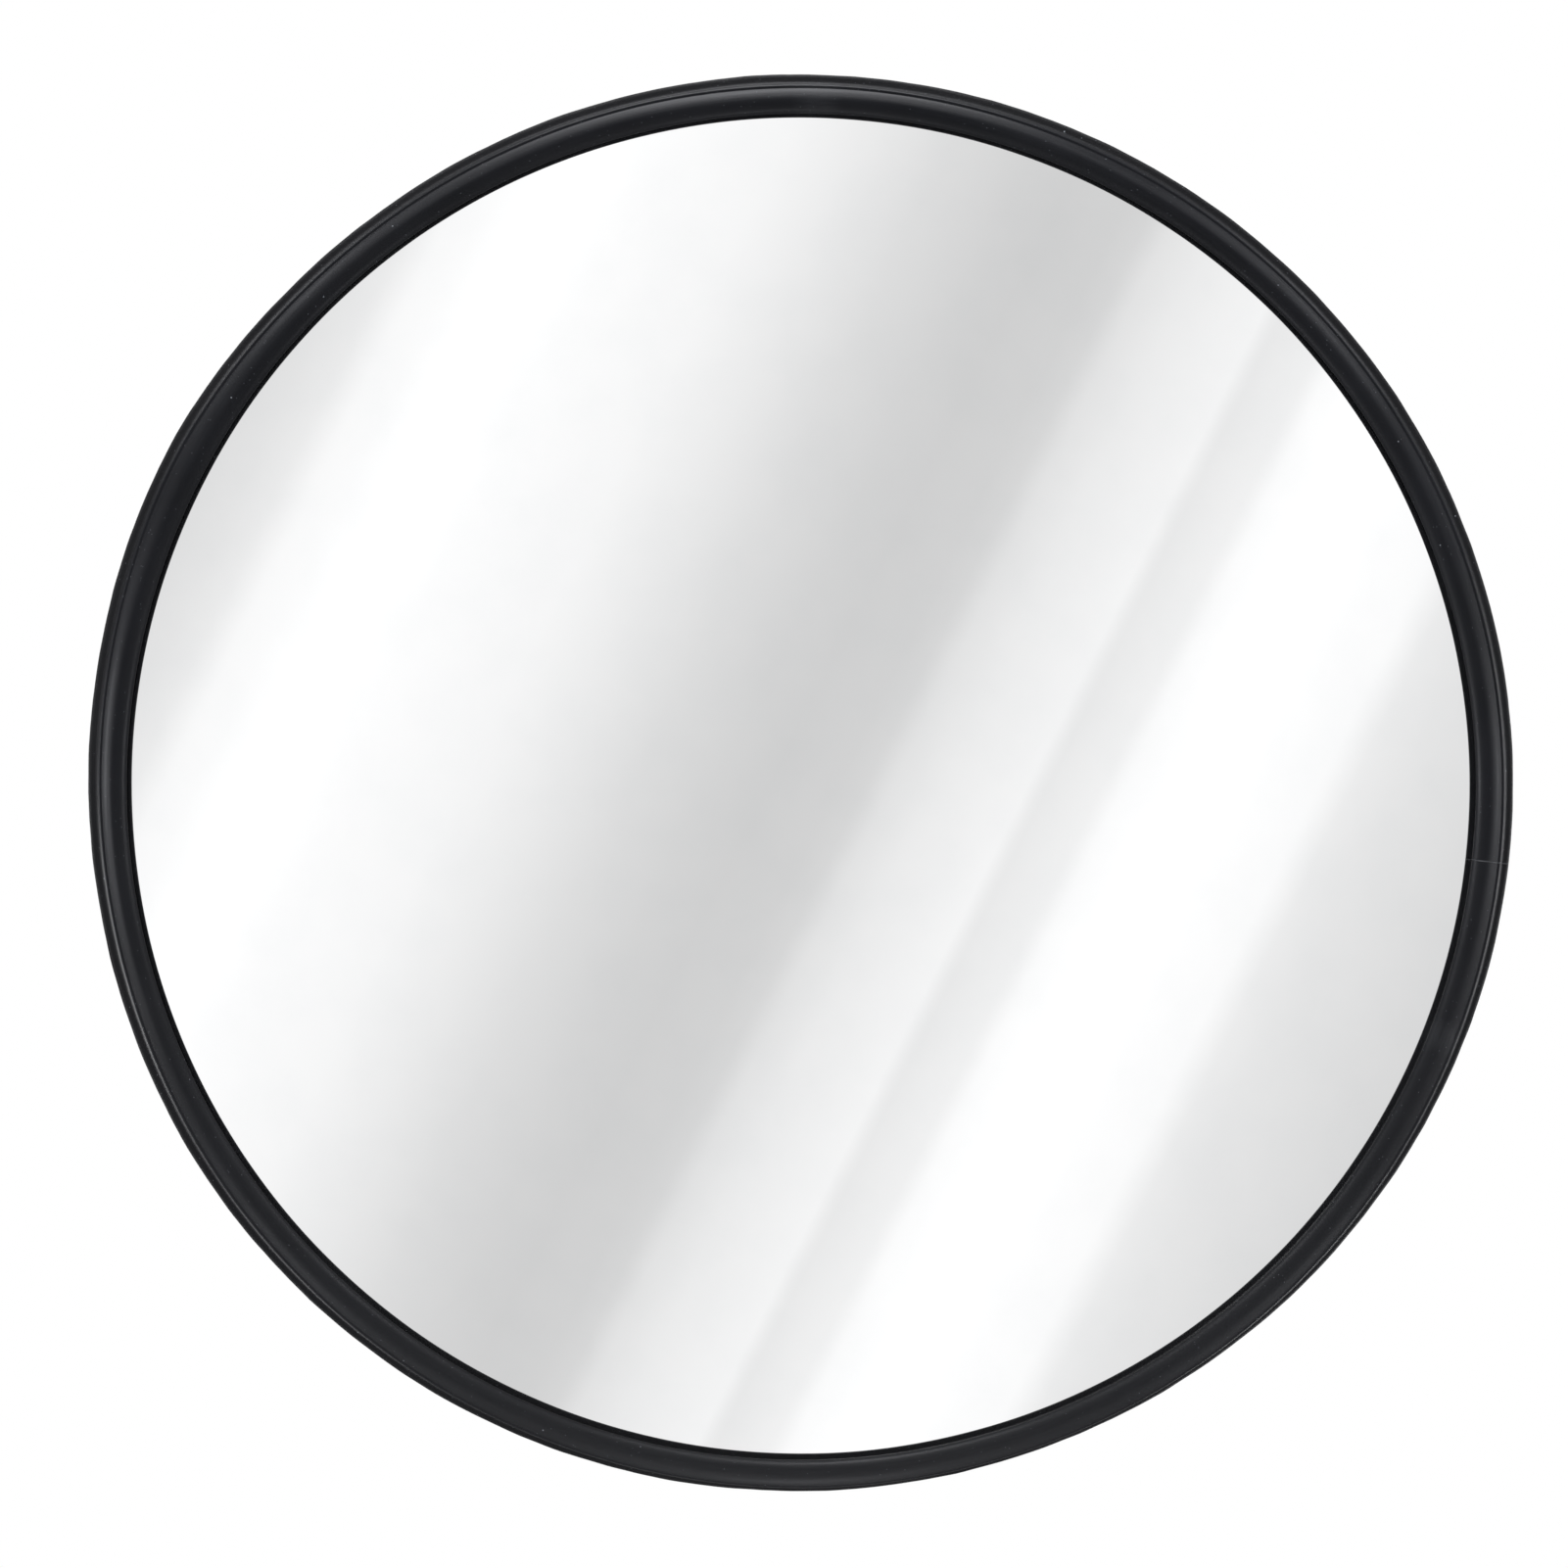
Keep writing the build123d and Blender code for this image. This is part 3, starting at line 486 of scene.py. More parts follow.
# ---- mirror head -----------------------------------------------------------------------------
def make_mirror(material):
    """The domed lens: two arcs and a flat flange, turned about the head's axis."""
    bm = bmesh.new()
    centre = Vector((0, -(DOME_APEX_OUT - DOME_RADIUS), 0))
    for radius, foot_out in ((DOME_RADIUS, LENS_FACE_OUT), (DOME_RADIUS - LENS_WALL, LENS_OUT)):
        apex = bm.verts.new(centre - Vector((0, radius, 0)))
        height = foot_out + centre.y
        sweep = atan2(sqrt(radius**2 - height**2), height)
        bmesh.ops.spin(bm, geom=[apex], cent=centre, axis=(0, 0, 1), angle=sweep, steps=72)
    root = Vector((DOME_ROOT_RADIUS, -LENS_FACE_OUT, 0))
    front_foot = min(bm.verts, key=lambda vert: (vert.co - root).length)
    back_foot = min(
        (vert for vert in bm.verts if abs(vert.co.y + LENS_OUT) < MERGE_DISTANCE),
        key=lambda vert: -vert.co.x,
    )
    front_rim = bm.verts.new((RIM_RADIUS, -LENS_FACE_OUT, 0))
    back_rim = bm.verts.new((RIM_RADIUS, -LENS_OUT, 0))
    for pair in ((front_foot, front_rim), (front_rim, back_rim), (back_rim, back_foot)):
        bm.edges.new(pair)
    turn_outline(bm, steps=288)
    return finish_piece(
        "mirror_dome", bm, material, "mirror_head", ["mirror_lens"], sharp_angle=15
    )


def slack(angle):
    """How far the trim stands off the rim, or is pulled in beside that."""
    return sum(
        depth * exp(-(((angle - middle) / width) ** 2)) for middle, width, depth in SLACK_STRETCHES
    )


def oval(angle):
    """The lip's slow wander round the head: off its middle, oval and three-cornered."""
    return sum(height * cos(count * angle + turn) for count, height, turn in LIP_WAVES)


def tuck(angle):
    """How far the bead is pulled in over the top of the head, where it was stretched on last."""
    return TUCK_DEPTH * max(0.0, cos(angle - TUCK_ANGLE)) ** 2


def between(value, low, high):
    """How far a value is from low to high, held from 0 to 1 and eased at both ends."""
    share = min(1.0, max(0.0, (value - low) / (high - low)))
    return share * share * (3 - 2 * share)


def ripple(angle, turns, seed):
    """Smooth unevenness from -1 to 1 round the head."""
    return noise.noise(Vector((turns * cos(angle), turns * sin(angle), seed)))


def wander_trim(bm, rim_slot):
    """Move the trim's outside as a soft strip settles, and leave its slot true to the rims."""
    matt = bm.verts.layers.float.new("matt")
    for vert in bm.verts:
        radius = hypot(vert.co.x, vert.co.z)
        angle = atan2(vert.co.z, vert.co.x) % (2 * pi)
        in_front = vert.co.y < -(LENS_FACE_OUT + SEAT_TOLERANCE)
        if not in_front and radius < rim_slot + SEAT_TOLERANCE:
            continue
        lip_share = between(radius, BEAD_OUTER_RADIUS, LIP_RADIUS)
        bead_share = 1 - lip_share
        slack_share = between(radius, SLACK_FROM, SLACK_TO)
        edge = sum(height * ripple(angle, turns, seed) for turns, seed, height in LIP_RIPPLES)
        push = lip_share * (oval(angle) + edge) + slack_share * slack(angle) - bead_share * tuck(angle)
        vert.co.x += push * cos(angle) + bead_share * BEAD_SHIFT.x
        vert.co.z += push * sin(angle) + bead_share * BEAD_SHIFT.z
        vert.co.x = min(TRIM_WIDEST, max(-TRIM_WIDEST, vert.co.x))
        vert.co.z = min(TRIM_WIDEST, max(-TRIM_WIDEST, vert.co.z))
        if in_front:
            rise = bead_share * BEAD_RISE + lip_share * LIP_RISE
            vert.co.y += rise * ripple(angle, FACE_RIPPLE_TURNS, FACE_RIPPLE_SEED)
        vert[matt] = between(radius, MATT_FROM, MATT_TO)


def make_trim(material):
    """The rubber channel: bead, groove and lip in front, then the side, the back leg and the slot."""
    seal_foot = (SIGHT_RADIUS + 1.2 * MM, LENS_FACE_OUT + 0.1 * MM)
    toe = (SIGHT_RADIUS, LENS_FACE_OUT + 1.5 * MM)
    inner_shoulder = (SIGHT_RADIUS + 1.1 * MM, BEAD_FACE_OUT - 0.35 * MM)
    bead_middle = (SIGHT_RADIUS + 2.9 * MM, BEAD_FACE_OUT)
    outer_shoulder = (BEAD_OUTER_RADIUS - 1.1 * MM, BEAD_FACE_OUT - 0.45 * MM)
    groove = (BEAD_OUTER_RADIUS, BEAD_FACE_OUT - 1.25 * MM)
    ridge = (RIDGE_RADIUS, BEAD_FACE_OUT - 1.15 * MM)
    ridge_foot = (RIDGE_RADIUS + 0.5 * MM, BEAD_FACE_OUT - 2.5 * MM)
    lip_edge = (LIP_RADIUS, BEAD_FACE_OUT - 2.65 * MM)
    back_edge = (LIP_RADIUS, TRIM_BACK_OUT)
    back_reach = TRIM_RADIUS - TRIM_BACK_REACH
    rim_slot = TRIM_RADIUS - TRIM_SIDE
    corners = [
        seal_foot,
        toe,
        inner_shoulder,
        bead_middle,
        outer_shoulder,
        groove,
        ridge,
        ridge_foot,
        lip_edge,
        back_edge,
        (back_reach, TRIM_BACK_OUT),
        (back_reach, SHELL_FLANGE_OUT),
        (rim_slot, SHELL_FLANGE_OUT),
        (rim_slot, LENS_FACE_OUT),
        (SIGHT_RADIUS + 1.3 * MM, LENS_FACE_OUT),
    ]
    bm = bmesh.new()
    outline_face(bm, corners)
    round_corner(bm, toe, 0.25 * MM, segments=4)
    round_corner(bm, inner_shoulder, 0.95 * MM, segments=9)
    round_corner(bm, bead_middle, 0.5 * MM, segments=4)
    round_corner(bm, outer_shoulder, 1.1 * MM, segments=10)
    round_corner(bm, groove, 0.15 * MM, segments=3)
    round_corner(bm, ridge, 0.28 * MM, segments=6)
    round_corner(bm, ridge_foot, 0.25 * MM, segments=3)
    round_corner(bm, lip_edge, 0.7 * MM, segments=6)
    round_corner(bm, back_edge, 1.1 * MM, segments=6)
    round_corner(bm, (back_reach, TRIM_BACK_OUT), 0.8 * MM, segments=5)
    turn_outline(bm, steps=TRIM_STEPS)
    wander_trim(bm, rim_slot)
    return finish_piece(
        "rubber_trim", bm, material, "mirror_head", ["edge_trim"], sharp_angle=50
    )


def add_rib(bm, panel_out, angle):
    """One stiffening rib of the shell, drawn in all round towards a soft crest."""
    length = SHELL_RIB_END - SHELL_RIB_START
    verts = bmesh.ops.create_cube(bm, size=1.0)["verts"]
    bmesh.ops.scale(bm, verts=verts, vec=(length, 2 * SHELL_RIB_HEIGHT, SHELL_RIB_WIDTH))
    crest = [vert for vert in verts if vert.co.y > 0]
    bmesh.ops.scale(bm, verts=crest, vec=SHELL_RIB_CREST)
    rounded = bmesh.ops.bevel(
        bm, geom=edges_within(bm.edges, crest), offset=0.5 * MM, affect="EDGES", segments=4, profile=0.5,
        material=-1,
    )
    parts = {vert for face in rounded["faces"] for vert in face.verts}
    parts |= {vert for vert in verts if vert.is_valid}
    middle = (SHELL_RIB_START + SHELL_RIB_END) / 2
    place = Matrix.Rotation(-angle, 4, "Y") @ Matrix.Translation((middle, -panel_out, 0))
    bmesh.ops.transform(bm, matrix=place, verts=list(parts))


def make_shell(material):
    """The moulded back: boss, panel, slope and flange in one wall, with ribs on the panel."""
    panel_out = SHELL_OUT + SHELL_BOSS_HEIGHT
    back_line = [
        (0, SHELL_OUT),
        (SHELL_BOSS_RADIUS, SHELL_OUT),
        (SHELL_BOSS_RADIUS + SHELL_BOSS_HEIGHT, panel_out),
        (SHELL_PANEL_RADIUS, panel_out),
        (SHELL_PANEL_RADIUS + SHELL_PANEL_DEPTH, SHELL_FLANGE_OUT),
        (RIM_RADIUS, SHELL_FLANGE_OUT),
    ]
    front_line = [(radius, out + SHELL_WALL) for radius, out in reversed(back_line)]
    bm = bmesh.new()
    outline_face(bm, back_line + front_line)
    for place, size in zip(back_line[1:5], (0.8, 0.8, 3.0, 3.0)):
        round_corner(bm, place, size * MM, segments=6)
    turn_outline(bm, steps=240)
    for count in range(SHELL_RIB_COUNT):
        add_rib(bm, panel_out, SHELL_RIB_ANGLE + count * 2 * pi / SHELL_RIB_COUNT)
    return finish_piece("moulded_back", bm, material, "mirror_head", ["back_shell"])


# ---- bracket ---------------------------------------------------------------------------------
def weld_ripple(turn, ripples, seed):
    """The scalloped thickness of a weld bead, as a gain near 1, at a share of its length."""
    drift = WELD_DRIFT * noise.noise(Vector((turn * ripples * 0.4, seed, 0)))
    lumps = WELD_LUMPS * noise.noise(Vector((turn * ripples * 0.7, seed, 3.0)))
    step = (turn * ripples + drift) % 1.0
    return WELD_VALLEY + WELD_CREST * sin(pi * step) + lumps


def ring_weld(bm, radius, out, thickness, ripples, seed):
    """A weld bead round the arm: a circle of circles, swollen and pinched along its length."""
    circle = bmesh.ops.create_circle(bm, segments=WELD_SIDES, radius=thickness)["verts"]
    bmesh.ops.rotate(bm, verts=circle, matrix=Matrix.Rotation(radians(12), 3, "Z"))
    bmesh.ops.translate(bm, verts=circle, vec=(radius, -out, 0))
    bmesh.ops.spin(
        bm, geom=circle + edges_within(bm.edges, circle), cent=(0, 0, 0), axis=AXIS_Y, angle=2 * pi,
        steps=ripples * WELD_STEPS_PER_RIPPLE, use_merge=True,
    )
    for vert in bm.verts:
        around = atan2(vert.co.z, vert.co.x)
        middle = Vector((radius * cos(around), -out, radius * sin(around)))
        vert.co = middle + (vert.co - middle) * weld_ripple((around / (2 * pi)) % 1.0, ripples, seed)


def make_plate_weld(material):
    """The fillet weld between the arm and the wall plate."""
    bm = bmesh.new()
    stand_off = 0.9 * MM
    ring_weld(
        bm, ARM_RADIUS + stand_off, PLATE_THICKNESS + stand_off, thickness=2.6 * MM, ripples=30, seed=1.0
    )
    clean_mesh(bm)
    return finish_piece(
        "plate_weld", bm, material, "wall_bracket", ["arm_weld"], sharp_angle=80
    )


def make_barrel_weld(material):
    """The saddle weld where the arm meets the pan barrel, bent round the barrel's side."""
    bm = bmesh.new()
    ring_weld(bm, ARM_RADIUS, PAN_OUT - BARREL_RADIUS, thickness=1.7 * MM, ripples=28, seed=4.0)
    for vert in bm.verts:
        reach = min(abs(vert.co.x), 0.98 * BARREL_RADIUS)
        vert.co.y -= BARREL_RADIUS - sqrt(BARREL_RADIUS**2 - reach**2)
    clean_mesh(bm)
    return finish_piece("barrel_weld", bm, material, "wall_bracket", sharp_angle=80)


def make_clevis_welds(material):
    """Two straight weld beads that hold the clevis's web to the head plate."""
    low, high = CLEVIS_BOX
    reach = high[2] - 1 * MM
    bm = bmesh.new()
    for side in (1, -1):
        ring = bmesh.ops.create_circle(bm, segments=WELD_SIDES, radius=CLEVIS_WELD_RADIUS)["verts"]
        place = Vector((side * (high[0] - 0.3 * MM), low[1] + CLEVIS_WEB_THICKNESS + 0.4 * MM, 0))
        bmesh.ops.translate(bm, verts=ring, vec=place - Vector((0, 0, reach)))
        edges = edges_within(bm.edges, ring)
        for _ in range(CLEVIS_WELD_STEPS):
            ring, edges = extrude_ring(bm, edges)
            bmesh.ops.translate(bm, verts=ring, vec=(0, 0, 2 * reach / CLEVIS_WELD_STEPS))
        beside = [vert for vert in bm.verts if vert.co.x * side > 0]
        for vert in beside:
            share = (vert.co.z + reach) / (2 * reach)
            middle = Vector((place.x, place.y, vert.co.z))
            end_taper = min(1.0, 0.25 + 9 * min(share, 1 - share))
            gain = weld_ripple(share, CLEVIS_WELD_RIPPLES, seed=7.0 + side)
            vert.co = middle + (vert.co - middle) * gain * end_taper
    bmesh.ops.holes_fill(bm, edges=bm.edges, sides=20)
    bmesh.ops.recalc_face_normals(bm, faces=bm.faces)
    return finish_piece("clevis_welds", bm, material, "mirror_head", sharp_angle=80)


def thread_radius(height, around):
    """The radius of an M6 x 1 thread at a height along it and an angle round it."""
    share = (height / THREAD_PITCH - around / (2 * pi)) % 1.0
    rise = abs(2 * share - 1)
    flank = min(1.0, max(0.0, (rise - THREAD_ROOT_SHARE) / THREAD_FLANK_SHARE))
    return THREAD_RADIUS - THREAD_DEPTH * (1 - flank)


def make_bolt(name, node, material, body, seat, neck_length, thread_start, length):
    """A carriage bolt: a domed head, a square neck, a plain shank and a rolled thread to its tip.

    It is made standing on its head, with +Z from under the head to the tip.
    """
    head = [
        (0, BOLT_HEAD_HEIGHT), (0.45 * BOLT_HEAD_RADIUS, 0.93 * BOLT_HEAD_HEIGHT),
        (0.8 * BOLT_HEAD_RADIUS, 0.6 * BOLT_HEAD_HEIGHT), (BOLT_HEAD_RADIUS, BOLT_HEAD_RIM + 0.3 * MM),
        (BOLT_HEAD_RADIUS, 0), (0, 0),
    ]
    bm = bmesh.new()
    outline_face(bm, head)
    for place, size in zip(head[1:4], (1.6, 1.3, 0.5)):
        round_corner(bm, place, size * MM, segments=5)
    turn_outline(bm, steps=72)
    bmesh.ops.transform(bm, matrix=Matrix.Rotation(radians(90), 4, "X"), verts=bm.verts)
    neck = bmesh.ops.create_cube(bm, size=1.0)["verts"]
    bmesh.ops.scale(bm, verts=neck, vec=(BOLT_NECK_WIDTH, BOLT_NECK_WIDTH, neck_length))
    bmesh.ops.translate(bm, verts=neck, vec=(0, 0, neck_length / 2))
    bmesh.ops.bevel(
        bm, geom=edges_within(bm.edges, neck), offset=0.3 * MM, affect="EDGES", segments=2, profile=0.5,
        material=-1,
    )
    ring = bmesh.ops.create_circle(bm, segments=THREAD_SIDES, radius=THREAD_RADIUS)["verts"]
    bmesh.ops.translate(bm, verts=ring, vec=(0, 0, neck_length))
    edges = edges_within(bm.edges, ring)
    heights = [thread_start]
    while heights[-1] < length - MERGE_DISTANCE:
        heights.append(min(length, heights[-1] + THREAD_PITCH / THREAD_STEPS))
    level = neck_length
    for height in heights:
        ring, edges = extrude_ring(bm, edges)
        bmesh.ops.translate(bm, verts=ring, vec=(0, 0, height - level))
        level = height
        tip = max(0.0, height - (length - BOLT_TIP_CHAMFER))
        run_in = between(height, thread_start, thread_start + THREAD_RUN_IN)
        for vert in ring:
            around = atan2(vert.co.y, vert.co.x)
            cut = (THREAD_RADIUS - thread_radius(height, around)) * run_in
            radius = THREAD_RADIUS - max(cut, BOLT_TIP_SLOPE * tip)
            vert.co.x, vert.co.y = radius * cos(around), radius * sin(around)
    bmesh.ops.holes_fill(bm, edges=edges, sides=THREAD_SIDES)
    bmesh.ops.recalc_face_normals(bm, faces=bm.faces)
    bmesh.ops.transform(bm, matrix=seat, verts=bm.verts)
    return finish_piece(name, bm, material, body, [node], sharp_angle=40)


def make_wing_nut(name, node, material, body, seat):
    """A forged wing nut: a coned boss, a bore and two soft wings, with +Z from its seat to its top."""
    outline = [
        (PIVOT_BORE, 0), (NUT_BASE_RADIUS, 0), (NUT_BASE_RADIUS, 0.15 * NUT_HEIGHT),
        (0.85 * NUT_BASE_RADIUS, 0.8 * NUT_HEIGHT), (0.7 * NUT_BASE_RADIUS, NUT_HEIGHT),
        (PIVOT_BORE + 0.4 * MM, NUT_HEIGHT), (PIVOT_BORE, NUT_HEIGHT - 0.4 * MM),
    ]
    bm = bmesh.new()
    outline_face(bm, outline)
    for place, size in zip(outline[1:5], (0.4, 0.8, 1.2, 0.6)):
        round_corner(bm, place, size * MM, segments=4)
    turn_outline(bm, steps=64)
    bmesh.ops.transform(bm, matrix=Matrix.Rotation(radians(-90), 4, "X"), verts=bm.verts)
    lobe = Vector((WING_REACH - WING_RADIUS, 0, WING_HEIGHT))
    for side in (1, -1):
        made = bmesh.ops.create_uvsphere(bm, u_segments=40, v_segments=28, radius=WING_RADIUS)["verts"]
        for vert in made:
            edge = hypot(vert.co.x, vert.co.z) / WING_RADIUS
            dish = WING_DISH + (1 - WING_DISH) * min(1.0, edge * 1.3)
            swell = dish * sqrt(max(0.0, 1 - edge**6))
            vert.co.y = WING_HALF_THICKNESS * (swell if vert.co.y > 0 else -swell)
            towards_root = -(vert.co.x * WING_LEAN_X + vert.co.z * WING_LEAN_Z) / WING_RADIUS
            inward = max(0.0, towards_root) ** 1.5
            vert.co.x -= inward * WING_ROOT_X
            vert.co.z -= inward * WING_ROOT_Z
            vert.co += lobe
            vert.co.x *= side
    bmesh.ops.recalc_face_normals(bm, faces=bm.faces)
    bmesh.ops.transform(bm, matrix=seat, verts=bm.verts)
    return finish_piece(name, bm, material, body, [node], sharp_angle=45)


# ---- studio ----------------------------------------------------------------------------------
FLOOR_RADIUS = 2.0
FLOOR_HEIGHT = -0.45
REAR_GAIN = 0.6
REAR_FROM, REAR_TO = -0.2, 0.5
BAND_SCALE = 2.22 * SIGHT_RADIUS / DOME_RADIUS
BAND_SLANT = 0.5
DISPLAY_GAMMA = 2.2
MIRROR_REFLECTANCE = 0.93
# Each pair is a place across the bands and the shade of grey that the mirror shows there.
REFLECTION_SHADES = [
    (-1.30, 0.80), (-1.06, 0.885), (-1.0, 0.915), (-0.95, 0.972), (-0.90, 0.982), (-0.81, 1.02),
    (-0.69, 0.99), (-0.50, 0.96), (-0.375, 0.914), (-0.25, 0.859), (-0.125, 0.820), (-0.04, 0.805),
    (0.06, 0.814), (0.105, 0.832), (0.14, 0.880), (0.21, 0.916), (0.345, 0.954), (0.372, 0.907),
    (0.46, 0.940), (0.49, 0.985), (0.60, 1.02), (0.70, 0.993), (0.785, 0.980), (0.835, 0.918),
    (0.90, 0.893), (1.06, 0.855), (1.30, 0.80),
]
LAMP_TARGET = Vector((0, -0.16, 0))
RING_LAMP_RADIUS = 1.09
RING_LAMP_OUT = 0.68
RING_LAMP_SIZE = 0.3
# The ring of lamps in front of the head: the angle of each in degrees, and its power in watts.
RING_LAMPS = {0: 3.6, 45: 3.4, 90: 3.6, 135: 3.4, 180: 6.6, 225: 1.6, 270: 2.2, 315: 1.6}
# The lamps above and beside the head, and those behind it: name, place, size and power in watts.
SIDE_LAMPS = [("overhead", (-0.1, -0.3, 1.25), 1.0, 34), ("right", (1.25, 0.0, 0.05), 0.5, 11)]
REAR_LAMPS = [
    ("corner_lamp", (1.05, 0.1, 0.95), 0.5, 6),
    ("corner_lamp", (-1.05, 0.1, 0.95), 0.5, 9),
    ("corner_lamp", (1.05, 0.1, -0.3), 0.5, 7),
    ("corner_lamp", (-1.05, 0.1, -0.3), 0.5, 9),
    ("low_lamp", (0.42, 0.02, -0.42), 0.2, 1.8),
    ("low_lamp", (-0.42, 0.02, -0.42), 0.2, 0.7),
]
# The camera's lens and sensor are in millimetres. Its view spans FRAME_WIDTH where the lip lies.
LENS_LENGTH = 150
SENSOR_WIDTH = 36
FRAME_WIDTH = 2.21072 * LIP_RADIUS
FRAME_OUT = LENS_FACE_OUT - 3 * MM
CAMERA_X, CAMERA_Z = -3.3 * MM, -0.2 * MM


def make_room():
    """A white studio whose far side has soft diagonal bands of light, as a row of softboxes gives."""
    world = bpy.data.worlds.new("studio")
    bpy.context.scene.world = world
    world.use_nodes = True
    world.node_tree.nodes.clear()
    room = NodeBuilder(world.node_tree)
    direction = room.add("ShaderNodeTexCoord").outputs["Generated"]
    parts = room.add("ShaderNodeSeparateXYZ")
    room.feed(parts.inputs["Vector"], direction)
    x, y, z = (parts.outputs[name] for name in "XYZ")
    across = room.math("SUBTRACT", x, room.math("MULTIPLY", z, BAND_SLANT))
    facing = room.math("MULTIPLY", room.math("SUBTRACT", 1.0, y), 0.5)
    half_turn = room.math("SQRT", room.math("MAXIMUM", facing, 0.02))
    band = room.math("DIVIDE", across, room.math("MULTIPLY", half_turn, BAND_SCALE))
    low, high = REFLECTION_SHADES[0][0], REFLECTION_SHADES[-1][0]
    bands = room.add("ShaderNodeValToRGB")
    room.feed(bands.inputs["Fac"], room.ramp(band, low, high, 0.0, 1.0))
    stops = bands.color_ramp.elements
    while len(stops) < len(REFLECTION_SHADES):
        stops.new(0.5)
    for stop, (place, shade) in zip(stops, REFLECTION_SHADES):
        stop.position = (place - low) / (high - low)
        light = shade**DISPLAY_GAMMA / MIRROR_REFLECTANCE
        stop.color = (light, light, light, 1.0)
    rear_fade = room.ramp(y, REAR_FROM, REAR_TO, 1.0, REAR_GAIN)
    lit = room.mix(1.0, bands.outputs["Color"], rear_fade, blend="MULTIPLY")
    to_camera = room.add("ShaderNodeLightPath").outputs["Is Camera Ray"]
    background = room.add("ShaderNodeBackground")
    room.feed(background.inputs["Color"], room.mix(to_camera, lit, (1.0, 1.0, 1.0)))
    output = room.add("ShaderNodeOutputWorld")
    room.feed(output.inputs["Surface"], background.outputs["Background"])


def flagged_off(piece):
    """A light group that leaves a piece out, so that no lamp shows as a hard disc in the mirror."""
    group = bpy.data.collections.new("lamp_receivers")
    group.objects.link(piece)
    group.collection_objects[0].light_linking.link_state = "EXCLUDE"
    return group


def make_lamp(name, place, size, power, receivers):
    """A round lamp that points at the mirror head and lights a group of receivers."""
    lamp = bpy.data.lights.new(name, "AREA")
    lamp.shape = "DISK"
    lamp.size = size
    lamp.energy = power
    rig = bpy.data.objects.new(name, lamp)
    rig.location = place
    rig.rotation_euler = (LAMP_TARGET - Vector(place)).to_track_quat("-Z", "Y").to_euler()
    bpy.context.scene.collection.objects.link(rig)
    rig.light_linking.receiver_collection = receivers


def ring_lamp_place(turn):
    """The place of the lamp at an angle round the ring, in degrees."""
    across = Vector((cos(radians(turn)), 0, sin(radians(turn)))) * RING_LAMP_RADIUS
    return across - Vector((0, RING_LAMP_OUT, 0))


def make_floor():
    """A pale floor below the head, which lamps shine through and the mirror doesn't show."""
    finish = Finish("floor_paint", (0.86, 0.86, 0.86), 0.7, specular=0.2)
    finish.color(finish.mix(finish.noise(0.4, detail=2), (0.85, 0.85, 0.85), (0.88, 0.88, 0.88)))
    bm = bmesh.new()
    bmesh.ops.create_circle(bm, cap_ends=True, radius=FLOOR_RADIUS, segments=96)
    bmesh.ops.translate(bm, verts=bm.verts, vec=(0, 0, FLOOR_HEIGHT))
    mesh = bpy.data.meshes.new("floor")
    bm.to_mesh(mesh)
    bm.free()
    mesh.materials.append(finish.material)
    floor = bpy.data.objects.new("floor", mesh)
    bpy.context.scene.collection.objects.link(floor)
    floor.visible_glossy = False
    floor.visible_shadow = False


def make_camera():
    """A long lens, square on to the mirror, a touch to the left of its middle."""
    lens = bpy.data.cameras.new("camera")
    lens.lens = LENS_LENGTH
    lens.sensor_width = SENSOR_WIDTH
    lens.clip_start = 0.01
    lens.clip_end = 50
    distance = FRAME_WIDTH * LENS_LENGTH / SENSOR_WIDTH
    camera = bpy.data.objects.new("camera", lens)
    camera.location = (CAMERA_X, -(FRAME_OUT + distance), CAMERA_Z)
    camera.rotation_euler = (pi / 2, 0, 0)
    bpy.context.scene.collection.objects.link(camera)
    bpy.context.scene.camera = camera


# ---- build -----------------------------------------------------------------------------------
bpy.context.scene.view_settings.view_transform = "Standard"
make_camera()
make_room()
make_floor()

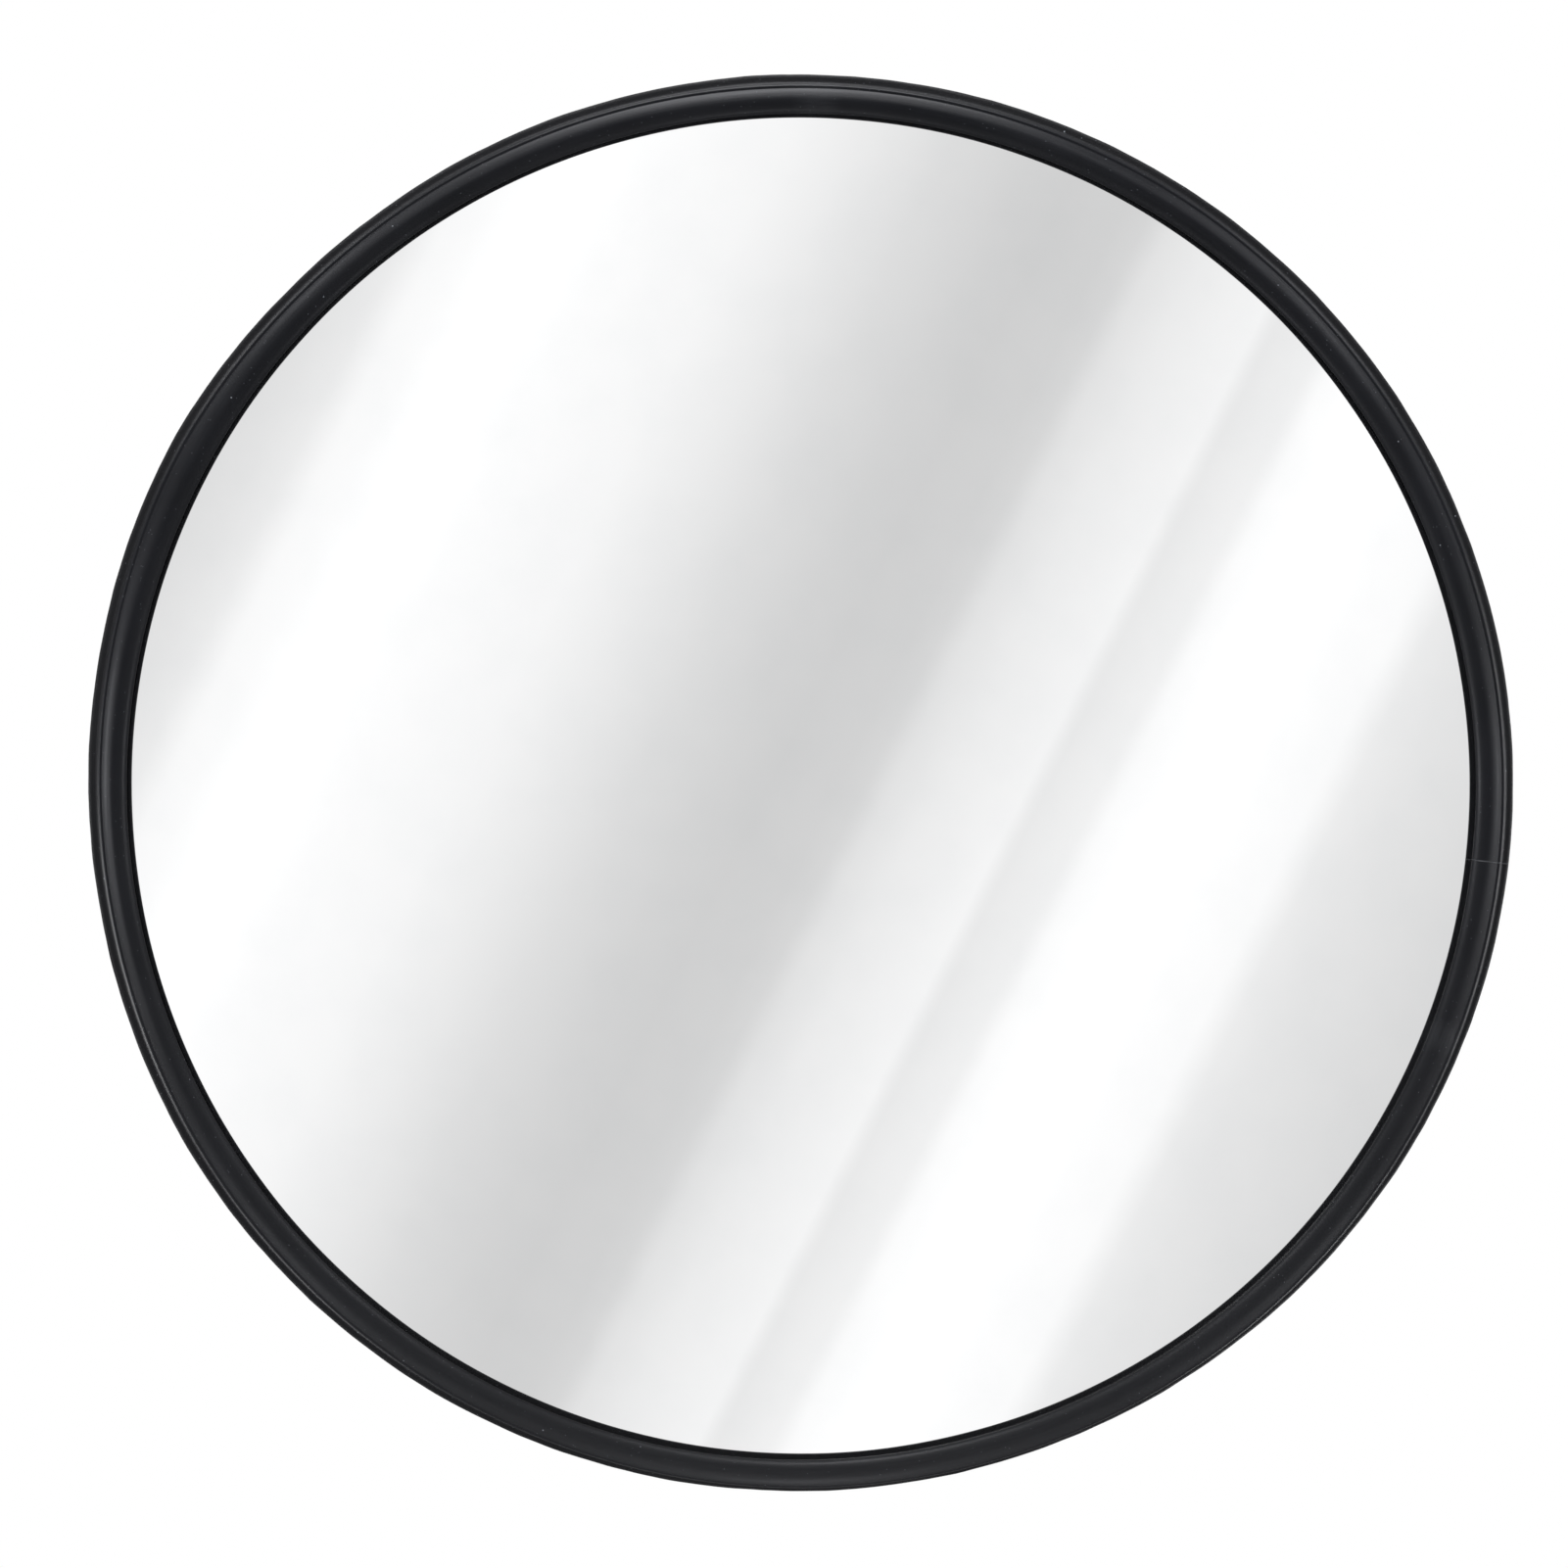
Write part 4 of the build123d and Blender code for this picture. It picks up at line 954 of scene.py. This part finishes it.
coat = powder_coat("powder_coat", 0.9 * MM, 0.03 * MM)
casting = powder_coat("coated_casting", 0.7 * MM, 0.07 * MM)
zinc = zinc_plate("zinc_plate", (0.48, 0.49, 0.51), 0.36)
forged_zinc = zinc_plate("forged_zinc", (0.42, 0.43, 0.44), 0.44)
node_finishes = {
    "coated_steel": coat,
    "coated_casting": casting,
    "plated_steel": zinc,
    "plated_casting": forged_zinc,
    "nylon": nylon(),
    "foam": foam(),
}
for subpart in frame["record"]["subparts"]:
    finish = node_finishes.get(subpart["material_slot"])
    if finish:
        for slot in frame["nodes"][subpart["node"]].material_slots:
            slot.material = finish

mirror = make_mirror(mirror_coating())
make_trim(trim_rubber())
make_shell(moulded_plastic())
make_plate_weld(coat)
make_barrel_weld(coat)
make_clevis_welds(coat)

# A pivot's pieces are made along +Z from where the bolt's head bears, and then turned to their axis.
fork_top, clevis_side = FORK_BOX[1][2], CLEVIS_BOX[1][0]
pan_turn = Matrix.Rotation(pi, 4, "X")
tilt_turn = Matrix.Rotation(-pi / 2, 4, "Y")
pan_seat = Matrix.Translation((0, -PAN_OUT, fork_top)) @ pan_turn
tilt_seat = Matrix.Translation((clevis_side, -TILT_OUT, 0)) @ tilt_turn
pan_length = fork_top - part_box("pan_bolt")[0][2]
tilt_length = clevis_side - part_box("tilt_bolt")[0][0]
pan_nut_at = fork_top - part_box("pan_wing_nut")[1][2]
tilt_nut_at = clevis_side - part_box("tilt_wing_nut")[1][0]
make_bolt(
    "pan_pivot_bolt", "pan_bolt", zinc, "swivel", pan_seat, neck_length=FORK_EAR_THICKNESS,
    thread_start=pan_nut_at - PAN_THREAD_BELOW_NUT, length=pan_length,
)
make_bolt(
    "tilt_pivot_bolt", "tilt_bolt", zinc, "mirror_head", tilt_seat, neck_length=PLATE_THICKNESS,
    thread_start=tilt_nut_at - TILT_THREAD_BELOW_NUT, length=tilt_length,
)
pan_nut_seat = pan_seat @ Matrix.Translation((0, 0, pan_nut_at))
tilt_nut_seat = tilt_seat @ Matrix.Translation((0, 0, tilt_nut_at))
make_wing_nut("pan_forged_nut", "pan_wing_nut", forged_zinc, "pan_nut", pan_nut_seat)
make_wing_nut("tilt_forged_nut", "tilt_wing_nut", forged_zinc, "tilt_nut", tilt_nut_seat)

receivers = flagged_off(mirror)
ring_lamps = [
    ("ring_lamp", ring_lamp_place(turn), RING_LAMP_SIZE, power) for turn, power in RING_LAMPS.items()
]
for name, place, size, power in SIDE_LAMPS + ring_lamps + REAR_LAMPS:
    make_lamp(name, place, size, power, receivers)
